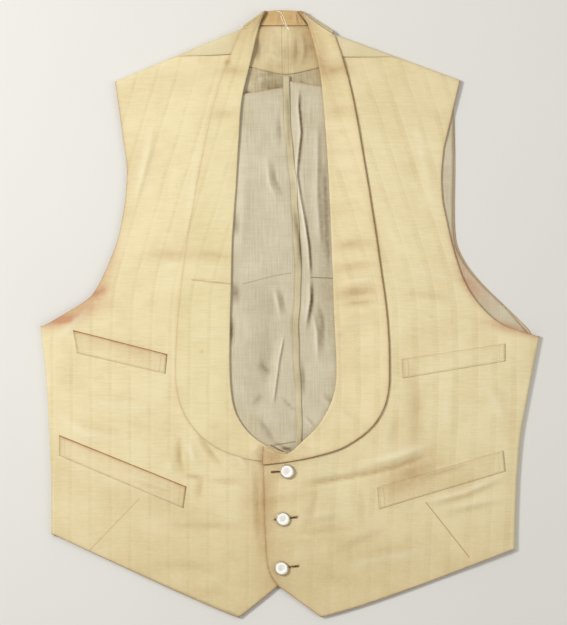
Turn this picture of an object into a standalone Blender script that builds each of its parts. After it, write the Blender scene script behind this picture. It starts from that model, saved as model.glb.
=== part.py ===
"""A man's evening waistcoat of the middle of the nineteenth century, buttoned and laid flat on its back.

Left and right are the wearer's. The neck is at +Y, the wearer's left is at +X, and Z is up from the table.
The garment is a flattened tube of cloth walls. From the table up they are the back of the collar, the two
backs, the lining, the right front with its collar, and the left front with its collar, which laps over.
Every wall is a loft through the garment's sections, and lies on what was laid down before it.
Sizes are millimetres until a mesh is made.
"""

import math
from collections import namedtuple

import bmesh
import bpy
import numpy as np
from mathutils import Vector
from mathutils.bvhtree import BVHTree

MM = 0.001

# Walls of cloth, and the gaps between them
BACK_WALL = 1.1
LINING_WALL = 1.0
FRONT_WALL = 1.4
COLLAR_WALL = 1.4
WELT_WALL = 1.0
TAPE_WALL = 1.0
GAP = 0.3

# The garment laid flat
LENGTH = 606.0
CHEST = 498.0
SIDE = CHEST / 2
FRONT_LIE = 4.5  # height of a front's face where nothing lifts it
SIDE_FOLD = 6.4  # height of the rounded fold at the side
SIDE_LIP = 2.0  # how far a front reaches under that fold, to the side seam
SIDE_GAP = 0.7
SHOULDER_AT_NECK = 7.7  # height of the rounded fold at the shoulder
SHOULDER_AT_TIP = 4.9
FALL_LIFT = 1.9  # how far the back is lifted by the part of the collar folded under it
BACK_INSIDE = 3.6  # a height between the back's two layers at the shoulders

# Steps of the grids
SHOULDER_COLUMNS = 10
NECK_COLUMNS = 2
FOLD_STEPS = 5
LEAST_STEP = 1.3
FOLD_GAP = 0.75
SETTLE_ROUNDS = 4

Point = namedtuple("Point", "x y")
Shoulder = namedtuple("Shoulder", "neck tip seam_at_neck seam_at_tip row_inner row_outer")
Band = namedtuple("Band", "rows inner outer")
Collar = namedtuple("Collar", "roll_x roll_y edge_x edge_y stand")
Crease = namedtuple("Crease", "x0 y0 x1 y1 width height")
Welt = namedtuple("Welt", "name mouth_inner mouth_outer foot_inner foot_outer")
Button = namedtuple("Button", "name x y hole_start hole_end hole_tilt")

# The centre back seam, from the neck to the hem
CENTRE_BACK = [
    Point(-8, 287.6), Point(-4.3, 240), Point(-2.6, 200), Point(1.6, 144), Point(6.8, 81),
    Point(7.9, 39), Point(6.2, -3), Point(6.8, -45), Point(9.6, -130), Point(10, -200), Point(10, -262),
]

# Each shoulder's fold line, and the seam that crosses it: millimetres of cloth from the fold, front side up
SHOULDERS = {
    "left": Shoulder(Point(23, 286.9), Point(170, 233.5), 33, -22, Point(39, 230), Point(153.5, 165)),
    "right": Shoulder(Point(-33.5, 291), Point(-174.5, 232), 34, -22, Point(-50.5, 230), Point(-163.2, 152)),
}

# The sides' fold lines, from the armhole to the hem
SIDES = {
    "left": [Point(SIDE, -22), Point(240, -68), Point(233.3, -103), Point(229.7, -126),
             Point(226.6, -163), Point(225.2, -200), Point(224.4, -235)],
    "right": [Point(-SIDE, -12), Point(-244, -56), Point(-241.2, -98), Point(-240, -122),
              Point(-238.2, -163), Point(-238.2, -190), Point(-238.2, -220)],
}
WAIST, SKIRT = slice(0, 5), slice(4, 7)

# The edges of the fronts, hidden under the collar down to the first button
ARMHOLES = {
    "left": [Point(153.5, 165), Point(151.3, 140), Point(152.2, 116), Point(156, 95), Point(164.5, 60),
             Point(174.5, 32), Point(188.5, 10), Point(208, -8), Point(228, -16.5), Point(SIDE - 3, -22)],
    "right": [Point(-163.2, 152), Point(-162.6, 140), Point(-165, 110), Point(-171.6, 76), Point(-182, 48),
              Point(-194, 24), Point(-205, 12.5), Point(-237, -7), Point(3 - SIDE, -12)],
}
NECKS = {
    "left": [Point(39, 230), Point(42, 175), Point(45, 124), Point(47.5, 60), Point(50, -4),
             Point(51.8, -58)],
    "right": [Point(-50.5, 230), Point(-57, 175), Point(-60, 124), Point(-63.5, 76), Point(-64.7, 28),
              Point(-65.8, -24), Point(-65.2, -62)],
}
NECK_BOTTOMS = {
    "left": [Point(51.8, -58), Point(47, -91), Point(35, -114), Point(17, -132), Point(0, -142),
             Point(-13, -145), Point(-27, -146)],
    "right": [Point(-65.2, -62), Point(-60, -99), Point(-47, -121), Point(-29, -134), Point(-8, -142.5),
              Point(12, -146)],
}
FRONT_EDGES = {
    "left": [Point(-27, -146), Point(-26, -180), Point(-25, -215), Point(-23, -245), Point(-19, -261),
             Point(-12, -271)],
    "right": [Point(12, -146), Point(12, -180), Point(11, -215), Point(10, -245)],
}
POINTS = {
    "left": [Point(-12, -271), Point(31, -302.5)],
    "right": [Point(10, -245), Point(-12, -271), Point(-51, -303)],
}
HEM_BOWS = {"left": 3.4, "right": 1.8}
SKIRT_SPLIT = 0.87  # share of the skirt's side that lies above the cutaway point
FRONT_ROWS = {"chest": 18, "waist": 8, "skirt": 6, "point": 3}

# The backs: armhole, and hem from the centre to the side
BACK_ARMHOLES = {
    "left": [Point(164.2, 200), Point(165.3, 155), Point(165.3, 82), Point(173, 56), Point(190.8, 32),
             Point(219.4, 4), Point(245.5, -21.5)],
    "right": [Point(-165.5, 200), Point(-159, 150), Point(-161, 110), Point(-170, 68), Point(-188, 30),
              Point(-214, 4), Point(-243.5, -12)],
}
BACK_ROW = 238.0  # height of the centre back where the shoulder's slope has died out
BACK_HEMS = {
    "left": [Point(10, -262), Point(45, -275), Point(96, -277), Point(150, -257.5), Point(219, -233)],
    "right": [Point(10, -262), Point(-60, -262), Point(-150, -246), Point(-233, -217)],
}

# The collar, from the centre back to the front edge: its roll line, its outer edge and its stand
COLLARS = {
    "left": [
        Collar(-7.1, 303, -7.1, 268, 4), Collar(-4, 303, 4, 268.5, 4), Collar(0, 303, 23, 271, 4),
        Collar(7, 303, 39, 278, 4), Collar(10, 303, 44, 281.6, 4),
        Collar(13.5, 296, 46.5, 272, 4), Collar(19, 285, 51, 259, 3.4), Collar(27, 255, 58, 234, 4),
        Collar(32, 223, 65, 203, 4), Collar(36, 175, 73.5, 155, 4), Collar(39, 124, 79.5, 119, 4),
        Collar(41.7, 60, 87.5, 66, 4), Collar(44, -4, 96.5, 0, 4), Collar(46, -44, 99, -48, 4),
        Collar(45.7, -68, 97, -83, 4), Collar(41, -88, 84, -110, 4), Collar(29, -110, 58, -130.5, 3),
        Collar(13, -126, 30, -140.3, 3), Collar(-4.5, -139, 0, -146.3, 3), Collar(-27, -131, -28, -150, 3),
    ],
    "right": [
        Collar(-7.4, 303, -7.4, 268, 4), Collar(-10.5, 303, -15, 268.5, 4), Collar(-14.5, 303, -30, 273, 4),
        Collar(-21.5, 303, -43, 284, 4), Collar(-25, 303, -47, 287.6, 4),
        Collar(-27, 297, -50, 279, 4), Collar(-31, 285, -56, 265, 3.6), Collar(-39.5, 250, -66, 241, 4),
        Collar(-48, 213, -77, 206, 4), Collar(-51, 175, -84.5, 172, 4), Collar(-54, 124, -93.5, 126, 4),
        Collar(-57.5, 76, -101.5, 79, 4), Collar(-58.7, 28, -108.5, 28, 4), Collar(-60, -24, -113.2, -25, 4),
        Collar(-59.5, -68, -113.4, -72, 4), Collar(-55, -96, -103, -104, 4), Collar(-43, -116, -80, -129, 3),
        Collar(-27, -129, -48, -143.3, 3), Collar(-12, -136, -20, -147.3, 3), Collar(-3, -138, -4, -149, 3),
    ],
}
STAND_TOP = [Point(-21.8, 302.2), Point(-14, 303), Point(-1, 303), Point(6.8, 302.2)]
STAND_BOTTOM = [Point(-30, 288.2), Point(-15, 288), Point(0, 288), Point(17.5, 288.2)]
COLLAR_FOLD = 4  # which of those sections lies on the fold of the shoulder
ROLL_DEPTH = 3.3  # height of the bend at the roll line: two walls and the space between
LOOSEST_ROLL = 4.0
COLLAR_SPREAD = 30.0  # length of collar over which its height settles, from that fold down
COLLAR_COLUMNS = 4
ROLL_STEPS = 4
COLLAR_ROWS = {"behind": 6, "over": 6, "down": 26}
FREE_EDGE_LIFT = {"left": 1.6, "right": 0.2}

# Soft folds: where each starts and ends, its half width and how far it lifts the cloth
LINING_CREASES = [
    Crease(9, 232, 8, 150, 4.5, 1.4), Crease(8, 150, 15, 86, 5, 1.8), Crease(15, 86, 20, 30, 5.5, 2.2),
    Crease(20, 30, 15, -20, 5.5, 1.4), Crease(-18, 160, -4, 112, 6, 1.0), Crease(-7, -20, -18, -95, 6, 1.2),
    Crease(36, 50, 40, -60, 7, 0.8), Crease(-38, 60, -30, -70, 12, 0.8),
]
FRONT_CREASES = {
    "left": [
        Crease(170, -90, 190, -175, 22, 1.6), Crease(120, 60, 190, 40, 18, 0.9),
        Crease(110, -110, 60, -220, 26, 1.0), Crease(95, 200, 120, 60, 16, 0.7),
    ],
    "right": [
        Crease(-85, -118, -68, -175, 12, 1.8), Crease(-160, -40, -150, -120, 26, 1.3),
        Crease(-130, 190, -105, 40, 18, 0.9), Crease(-190, -190, -120, -240, 22, 0.9),
    ],
}

# The upper lining and the neck facing, from the centre of each edge outwards
UPPER_LINING = {"top": 247.0, "bottom": 206.0, "left": 92.0, "right": -104.0}
FACING_TOP = [Point(-34, 281), Point(-27, 286.6), Point(-8, 287.2), Point(10, 286.6), Point(26, 283.8)]
FACING_BOTTOM = [Point(-52, 250), Point(-27, 243), Point(-5, 239), Point(14, 242), Point(38, 248)]
LINING_TOPS = {"left": 228.0, "right": 222.0}
LINING_ROWS = (13, 9)
LINING_COLUMNS = (0, 0.03, 0.06, 0.09, 0.125, 0.165, 0.22, 0.3, 0.45, 0.7, 1)
TAPE_WIDTH = 6.0
TAPE_TOP, TAPE_END = 239.0, -250.0
TAPE_ROWS = 36

# The pocket welts: the two ends of each mouth and of each foot, the inner ones towards the buttons
WELTS = {
    "right": [
        Welt("welt_breast_right", Point(-122.5, -40), Point(-216, -16), Point(-124.5, -59.5),
             Point(-212, -39)),
        Welt("welt_waist_right", Point(-103.5, -172), Point(-230, -120.5), Point(-106.5, -193.5),
             Point(-230, -141)),
    ],
    "left": [
        Welt("welt_breast_left", Point(111.5, -45), Point(214.5, -29.5), Point(112.5, -64),
             Point(214.5, -47)),
        Welt("welt_waist_left", Point(87, -173), Point(212.5, -136), Point(89, -194.5),
             Point(214.5, -156.5)),
    ],
}
WELT_MOUTH_LIFT = 0.3

# Pearl buttons in metal settings, and the holes that they are fastened through
BUTTONS = [
    Button("top", -3, -156.3, -18.5, -1, 4), Button("middle", -7, -203.7, -15.5, 7, 6),
    Button("bottom", -8.5, -252.8, -11, 8.5, 6),
]
BUTTON_RADIUS = 7.0
RIM_WIDTH = 1.0
RIM_HEIGHT = 2.6
SEAT_HEIGHT = 1.2
PEARL_HEIGHT = 1.7
PEARL_BEVEL = 0.5
SHANK_RADIUS = 0.8
HOLE_WIDTH = 2.4
TURNED_STEPS = 16

COLOURS = {
    "striped_twill": ((0.80, 0.70, 0.45), 0.85, 0.0),
    "plain_cotton": ((0.72, 0.67, 0.50), 0.9, 0.0),
    "grey_lining": ((0.48, 0.43, 0.33), 0.85, 0.0),
    "pearl": ((0.88, 0.86, 0.80), 0.25, 0.0),
    "metal_setting": ((0.62, 0.58, 0.50), 0.35, 1.0),
}


def clear_scene():
    for obj in list(bpy.data.objects):
        bpy.data.objects.remove(obj)


def collection(name):
    made = bpy.data.collections.new(name)
    bpy.context.scene.collection.children.link(made)
    return made


def material(name):
    made = bpy.data.materials.get(name)
    if made:
        return made
    colour, roughness, metallic = COLOURS[name]
    made = bpy.data.materials.new(name)
    made.use_nodes = True
    shader = made.node_tree.nodes["Principled BSDF"]
    shader.inputs["Base Color"].default_value = (*colour, 1)
    shader.inputs["Roughness"].default_value = roughness
    shader.inputs["Metallic"].default_value = metallic
    return made


def smooth(t):
    t = min(1.0, max(0.0, t))
    return t * t * (3 - 2 * t)


def between(a, b, t):
    return a + (b - a) * t


def even(points, count):
    """count + 1 places, evenly spaced on a smooth curve through the points."""
    p = np.array(points, float)
    if len(p) > 2:
        ends = np.vstack([2 * p[0] - p[1], p, 2 * p[-1] - p[-2]])
        t = np.linspace(0, 1, 16, endpoint=False)[:, None]
        spans = []
        for a, b, c, d in zip(ends, ends[1:], ends[2:], ends[3:]):
            spans.append(0.5 * (2 * b + (c - a) * t + (2 * a - 5 * b + 4 * c - d) * t**2
                                + (3 * b - a - 3 * c + d) * t**3))
        p = np.vstack([*spans, p[-1:]])
    run = np.concatenate([[0], np.cumsum(np.linalg.norm(np.diff(p, axis=0), axis=1))])
    at = np.linspace(0, run[-1], count + 1)
    return np.column_stack([np.interp(at, run, p[:, k]) for k in range(p.shape[1])])


def creases(table, x, y):
    """How far the soft folds in the table lift the cloth at a place."""
    lift = 0.0
    for c in table:
        along = np.array([c.x1 - c.x0, c.y1 - c.y0])
        length = np.linalg.norm(along)
        along = along / length
        place = np.array([x - c.x0, y - c.y0])
        t = place @ along
        past = max(0.0, -t, t - length)
        across = abs(place[0] * along[1] - place[1] * along[0])
        lift = max(lift, c.height * math.exp(-((across / c.width) ** 2) - (past / (1.5 * c.width)) ** 2))
    return lift


def back_rise(x, y):
    """Height of the back's outer face: flat on the table, and lifted over the collar at the neck."""
    return FALL_LIFT * smooth((y - 212) / 42) * (1 - smooth((abs(x + 2) - 66) / 60))


class Pile:
    """A relief map of what has been laid on the table so far."""

    CELL = 2.0
    FLAT_REACH = 7.0  # a wall keeps its height this far beyond what lifts it
    REACH = 30.0
    SLOPE = 0.13

    def __init__(self):
        self.columns = int(CHEST / self.CELL) + 24
        self.rows = int(LENGTH / self.CELL) + 24
        self.low = np.array([-self.columns, -self.rows]) * self.CELL / 2
        self.bare = np.zeros((self.columns, self.rows))
        self.spread()

    def add(self, piece, top=100.0):
        """Adds the upper face of a piece, or of the part of it that lies below top."""
        tree = BVHTree.FromObject(piece, bpy.context.evaluated_depsgraph_get())
        corners = np.array([piece.matrix_world @ Vector(c) for c in piece.bound_box]) / MM
        first = np.maximum(((corners.min(0)[:2] - self.low) / self.CELL).astype(int) - 1, 0)
        last = ((corners.max(0)[:2] - self.low) / self.CELL).astype(int) + 2
        for i in range(first[0], min(last[0], self.columns)):
            for j in range(first[1], min(last[1], self.rows)):
                x, y = self.low + np.array([i, j]) * self.CELL
                hit = tree.ray_cast(Vector((x, y, top)) * MM, Vector((0, 0, -1)))[0]
                if hit is not None:
                    self.bare[i, j] = max(self.bare[i, j], hit.z / MM)
        self.spread()

    def highest(self, reach, fall):
        """The highest that the map gets within a reach of each cell, less the fall on the way there."""
        steps = int(reach / self.CELL)
        padded = np.pad(self.bare, steps)
        found = self.bare.copy()
        for i in range(-steps, steps + 1):
            for j in range(-steps, steps + 1):
                away = math.hypot(i, j) * self.CELL
                if away <= reach:
                    moved = padded[steps + i:steps + i + self.columns, steps + j:steps + j + self.rows]
                    found = np.maximum(found, moved - fall(away))
        return found

    def spread(self):
        self.near = self.highest(1.5 * self.CELL, lambda away: 0)
        self.lie = self.highest(self.REACH, lambda away: self.SLOPE * max(0.0, away - self.FLAT_REACH))

    def read(self, heights, x, y):
        at = (np.array([x, y]) - self.low) / self.CELL
        i, j = at.astype(int)
        s, t = at - (i, j)
        row = heights[i, j:j + 2] * (1 - s) + heights[i + 1, j:j + 2] * s
        return float(row[0] * (1 - t) + row[1] * t)

    def face(self, x, y, wall, least=0.0):
        """Height of the upper face of a wall that lies here, and is no lower than least."""
        return max(least, self.read(self.lie, x, y) + GAP + wall)


def settle(grid, pile, thickness, rows, columns):
    """Raises places of a grid until the loft between them clears what is under it."""
    steps = (0, 0.25, 0.5, 0.75, 1)
    for r, c in [(r, c) for _ in range(SETTLE_ROUNDS) for r in rows for c in columns]:
        corners = [(r, c), (r, c + 1), (r + 1, c), (r + 1, c + 1)]
        if any(grid[i][j] is None for i, j in corners):
            continue
        a, b, d, e = [np.array(grid[i][j]) for i, j in corners]
        inside = [between(between(a, b, s), between(d, e, s), t) for s in steps for t in steps]
        short = max(pile.read(pile.near, x, y) + GAP + thickness + 0.1 - z for x, y, z in inside)
        if short > 0:
            for i, j in corners:
                x, y, z = grid[i][j]
                grid[i][j] = (x, y, z + short)


def over_fold(edge, inward, high, low, along):
    """The outer face at a distance along the cloth from the crest of a fold: the upper layer is above 0.

    edge is the crest seen from above, inward the way into the garment, high and low the layers' heights.
    """
    radius = (high - low) / 2
    quarter = math.pi * radius / 2
    if along > quarter:
        reach, z = radius + along - quarter, high
    elif along < -quarter:
        reach, z = radius - along - quarter, low
    else:
        reach, z = radius * (1 - math.cos(along / radius)), low + radius * (1 + math.sin(along / radius))
    return (edge[0] + inward[0] * reach, edge[1] + inward[1] * reach, z)


def fold_steps(high, low):
    """Distances along the cloth from the upper layer, over the fold, to the lower one."""
    quarter = math.pi * (high - low) / 4
    return [quarter * (1 - 2 * k / FOLD_STEPS) for k in range(FOLD_STEPS + 1)]


def wall(name, grid, thickness, finish, faces_up=True):
    """One piece of cloth: a loft through the rows of the grid, thickened inwards from its outer face.

    A place in the grid that is None is left out, and so are the faces that need it.
    """
    mesh = bpy.data.meshes.new(name)
    bm = bmesh.new()
    rows = [[None if p is None else bm.verts.new(Vector(p) * MM) for p in row] for row in grid]
    for upper, lower in zip(rows, rows[1:]):
        for a, b, c, d in zip(upper, lower, lower[1:], upper[1:]):
            if None not in (a, b, c, d):
                bm.faces.new((a, b, c, d))
    bm.normal_update()
    area = sum((f.normal.z * f.calc_area() for f in bm.faces), 0.0)
    if (area > 0) != faces_up:
        bmesh.ops.reverse_faces(bm, faces=bm.faces)
    bm.to_mesh(mesh)
    bm.free()
    piece = bpy.data.objects.new(name, mesh)
    GARMENT.objects.link(piece)
    mesh.materials.append(material(finish))
    mesh.shade_smooth()
    thicken = piece.modifiers.new("Cloth", "SOLIDIFY")
    thicken.thickness = thickness * MM
    thicken.offset = -1
    bpy.context.view_layer.update()
    return piece


def outward(side):
    return 1 if side == "left" else -1


def shoulder_columns(side):
    """For each column of a shoulder: the fold's crest, the way in, the length to the first row of the chest,
    where the seam crosses, and the heights of the fold's upper and lower layers.
    """
    s = SHOULDERS[side]
    found = []
    for k in range(SHOULDER_COLUMNS + 1):
        u = k / SHOULDER_COLUMNS
        crest = between(np.array(s.neck), np.array(s.tip), u)
        row = between(np.array(s.row_inner), np.array(s.row_outer), u)
        length = np.linalg.norm(row - crest)
        seam = between(s.seam_at_neck, s.seam_at_tip, u)
        high = between(SHOULDER_AT_NECK, SHOULDER_AT_TIP, u)
        found.append((crest, (row - crest) / length, length, seam, high, back_rise(*crest)))
    return found


def seam_gap(seam, high, low):
    """Half the gap at the shoulder seam: wider on the fold, where the two walls turn towards each other."""
    return GAP / 2 + FOLD_GAP * math.exp(-((seam / (high - low)) ** 2))


def front_shoulder(side, pile):
    """Rows of a front from the shoulder seam down to the first row of the chest."""
    columns = []
    for crest, way, length, seam, high, low in shoulder_columns(side):
        radius = (high - low) / 2
        last = length - radius + math.pi * radius / 2
        flat_part = np.linspace(last * 0.3, last, 4)
        marks = [seam + seam_gap(seam, high, low), *reversed(fold_steps(high, low)), *flat_part]
        column = []
        for mark in marks[:-1]:
            mark = max(mark, column[-1][0] + LEAST_STEP) if column else mark
            x, y, z = over_fold(crest, way, high, low, mark)
            if z == high:
                settled = smooth((mark - math.pi * radius / 2) / 25)
                z = between(high, pile.face(x, y, FRONT_WALL, FRONT_LIE), settled)
            column.append((mark, (x, y, z)))
        columns.append([place for mark, place in column])
    return [list(row) for row in zip(*columns)]


def front(side, pile):
    """A front: over the shoulder, down the chest, and round the fold at the side to the side seam."""
    split = even(SIDES[side][SKIRT], 100)
    cut = int(SKIRT_SPLIT * 100)
    bands = {
        "chest": Band(FRONT_ROWS["chest"], NECKS[side], ARMHOLES[side]),
        "waist": Band(FRONT_ROWS["waist"], NECK_BOTTOMS[side], SIDES[side][WAIST]),
        "skirt": Band(FRONT_ROWS["skirt"], FRONT_EDGES[side], split[:cut + 1]),
        "point": Band(FRONT_ROWS["point"], POINTS[side], split[cut:]),
    }
    grid = [row + [None] * (FOLD_STEPS + 1) for row in front_shoulder(side, pile)]
    way = (-outward(side), 0)
    for name, band in bands.items():
        inner, outer = even(band.inner, band.rows), even(band.outer, band.rows)
        for k in range(band.rows + (name == "point")):
            folded = name != "chest"
            radius = SIDE_FOLD / 2
            edge = outer[k] + np.array(way) * radius if folded else outer[k]
            near_side = 1 if folded else smooth(2 * k / band.rows - 1)
            row = []
            for column in range(SHOULDER_COLUMNS + 1):
                u = column / SHOULDER_COLUMNS
                x, y = between(inner[k], edge, u)
                if name == "point":
                    y -= HEM_BOWS[side] * k / band.rows * math.sin(math.pi * u**0.7)
                rise = (SIDE_FOLD - FRONT_LIE) * near_side * smooth((u - 0.55) / 0.45)
                least = FRONT_LIE + rise + creases(FRONT_CREASES[side], x, y) * (1 - smooth((u - 0.8) / 0.2))
                row.append((x, y, SIDE_FOLD if folded and u == 1 else pile.face(x, y, FRONT_WALL, least)))
            marks = fold_steps(SIDE_FOLD, 0)[1:] if folded else []
            row += [over_fold(outer[k], way, SIDE_FOLD, 0, mark) for mark in marks]
            row += [over_fold(outer[k], way, SIDE_FOLD, 0, marks[-1] - SIDE_LIP) if folded else None]
            row += [None] * (SHOULDER_COLUMNS + 2 + FOLD_STEPS - len(row))
            grid.append(row)
    first = len(grid) - sum(FRONT_ROWS.values()) - 4
    settle(grid, pile, FRONT_WALL, range(first, len(grid) - 1), range(SHOULDER_COLUMNS - 1))
    return wall(f"front_{side}", grid, FRONT_WALL, "striped_twill")


def back_shoulder(side):
    """Columns of a back from the shoulder seam, over the fold and down to where the slope has died out."""
    s = SHOULDERS[side]
    low_inner = np.array([CENTRE_BACK[1].x, BACK_ROW])
    low_outer = np.array(BACK_ARMHOLES[side][0])
    neck_share = NECK_COLUMNS / (NECK_COLUMNS + SHOULDER_COLUMNS)
    columns = []
    for k, (crest, way, length, seam, high, low) in enumerate(shoulder_columns(side)):
        u = k / SHOULDER_COLUMNS
        target = between(low_inner, low_outer, neck_share + (1 - neck_share) * u)
        edge = seam - seam_gap(seam, high, low)
        marks = [edge, between(edge, math.pi * (high - low) / 4, 0.5), *fold_steps(high, low)]
        column = []
        for mark in marks:
            mark = min(mark, column[-1][0] - LEAST_STEP) if column else mark
            column.append((mark, over_fold(crest, way, high, low, mark)))
        places = [place for mark, place in column]
        start = np.array(places[-1][:2])
        for share in (0.33, 0.66):
            x, y = between(start, target, share)
            places.append((x, y, back_rise(x, y)))
        columns.append(places)
    return columns


def back(side):
    """One half of the back: its outer face lies on the table, and it laps over the shoulder to the seam."""
    shoulder = back_shoulder(side)
    sign = outward(side)
    seam_x = sign * GAP / 2
    centre = even(CENTRE_BACK, 60) + np.array([seam_x, 0])
    centre = centre[np.argmin(abs(centre[:, 1] - BACK_ROW)):]
    neck = SHOULDERS[side].neck
    top = np.array([CENTRE_BACK[0].x + seam_x, CENTRE_BACK[0].y])
    folded_rows = 2 + FOLD_STEPS
    grid = []
    for r in range(len(shoulder[0])):
        row = [None] * NECK_COLUMNS
        if r >= folded_rows:
            share = (0, 0.33, 0.66)[r - folded_rows]
            start = np.array(shoulder[0][folded_rows][:2])
            for k in range(NECK_COLUMNS):
                x, y = between(top, start, k / NECK_COLUMNS)
                reach = k / (NECK_COLUMNS + SHOULDER_COLUMNS)
                target = between(centre[0], np.array(BACK_ARMHOLES[side][0]), reach)
                x, y = between(np.array([x, y]), target, share)
                row[k] = (x, y, back_rise(x, y))
        grid.append(row + [column[r] for column in shoulder])
    last_column = NECK_COLUMNS + SHOULDER_COLUMNS
    under_fold = sign * (SIDE_FOLD / 2 + SIDE_LIP + SIDE_GAP)
    side_line = [Point(p.x - under_fold, p.y) for p in SIDES[side]]
    side_line[-1] = BACK_HEMS[side][-1]
    armhole_rows, side_rows = 7, 6
    outer = np.vstack([even(BACK_ARMHOLES[side], armhole_rows)[:-1], even(side_line, side_rows)])
    inner = even(centre, armhole_rows + side_rows)
    hem = even(BACK_HEMS[side], last_column)
    for r in range(len(outer)):
        share = smooth((r - armhole_rows) / side_rows)
        row = []
        for k in range(last_column + 1):
            straight = between(inner[r], outer[r], k / last_column)
            bow = hem[k] - between(hem[0], hem[-1], k / last_column)
            x, y = straight + bow * share
            row.append((x, y, back_rise(x, y)))
        grid.append(row)
    return wall(f"back_{side}", grid, BACK_WALL, "plain_cotton", faces_up=False)


def lining(side, pile):
    """One half of the lining, inside the back, with the soft folds beside the centre seam."""
    sign = outward(side)
    top = LINING_TOPS[side]
    centre = even(CENTRE_BACK, 60) + np.array([sign * GAP / 2, 0])
    centre = centre[centre[:, 1] < top + 6]
    centre = even(centre, sum(LINING_ROWS))
    inset = sign * 2.5
    armhole = [Point(p.x - inset, p.y) for p in BACK_ARMHOLES[side][1:-1]]
    side_line = [Point(p.x - sign * (SIDE_FOLD / 2 + SIDE_LIP + 4), p.y) for p in SIDES[side]]
    armhole = even([Point(armhole[0].x, top - 20), *armhole, side_line[0]], LINING_ROWS[0])
    outer = np.vstack([armhole[:-1], even(side_line, LINING_ROWS[1])])
    outer[-1] += np.array([0, 8])
    grid = []
    for r in range(len(outer)):
        row = []
        for mark in LINING_COLUMNS:
            x, y = between(centre[r], outer[r], mark)
            row.append((x, y, pile.face(x, y, LINING_WALL) + creases(LINING_CREASES, x, y)))
        grid.append(row)
    settle(grid, pile, LINING_WALL, range(len(grid) - 1), range(len(LINING_COLUMNS) - 1))
    return wall(f"lining_{side}", grid, LINING_WALL, "grey_lining")


def strip(name, top, bottom, rows, columns, thickness, finish, pile):
    """A flat piece between two curves that lies on what is under it."""
    upper, lower = even(top, columns), even(bottom, columns)
    grid = []
    for r in range(rows + 1):
        row = []
        for k in range(columns + 1):
            x, y = between(upper[k], lower[k], r / rows)
            row.append((x, y, pile.face(x, y, thickness)))
        grid.append(row)
    settle(grid, pile, thickness, range(rows), range(columns))
    return wall(name, grid, thickness, finish)


def upper_lining(pile):
    u = UPPER_LINING
    top = [Point(u["right"], u["top"] - 8), Point(-30, u["top"]), Point(20, u["top"]),
           Point(u["left"], u["top"] - 6)]
    bottom = [Point(p.x, u["bottom"]) for p in top]
    return strip("upper_lining", top, bottom, 3, 12, LINING_WALL, "grey_lining", pile)


def neck_facing(pile):
    return strip("neck_facing", FACING_TOP, FACING_BOTTOM, 4, 10, LINING_WALL, "plain_cotton", pile)


def centre_tape(pile):
    """The narrow strip over the lining's centre seam."""
    centre = even(CENTRE_BACK, 90)
    centre = even(centre[(centre[:, 1] < TAPE_TOP) & (centre[:, 1] > TAPE_END)], TAPE_ROWS)
    half = TAPE_WIDTH / 2
    grid = []
    for x, y in centre:
        z = max(pile.read(pile.near, x + across, y) for across in (-half, 0, half)) + GAP + TAPE_WALL
        grid.append([(x - half, y, z), (x + half, y, z)])
    settle(grid, pile, TAPE_WALL, range(TAPE_ROWS), range(1))
    return wall("centre_tape", grid, TAPE_WALL, "plain_cotton")


def collar_section(c, bulge, roll_z, hairpin, face_at):
    """Points of one section of the collar, from the end of the stand, round the roll, to the outer edge.

    The stand and the fall run the section's own way, and the roll between them bends square to its line.
    """
    way = direction(c)[0]
    width = math.hypot(c.edge_x - c.roll_x, c.edge_y - c.roll_y)
    radius = hairpin / 2
    places = [(max(c.stand, radius + 1), hairpin, way)]
    for k in range(ROLL_STEPS + 1):
        angle = math.pi * (0.5 - k / ROLL_STEPS)
        places.append((radius * (1 - math.cos(angle)), radius * (1 + math.sin(angle)), bulge))
    for k in range(1, COLLAR_COLUMNS + 1):
        places.append((between(radius, width, k / COLLAR_COLUMNS), 0, way))
    points = []
    for along, depth, heading in places:
        x, y = np.array([c.roll_x, c.roll_y]) + heading * along
        points.append((x, y, roll_z - depth if along <= radius or depth else face_at(x, y, along / width)))
    return points


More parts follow.
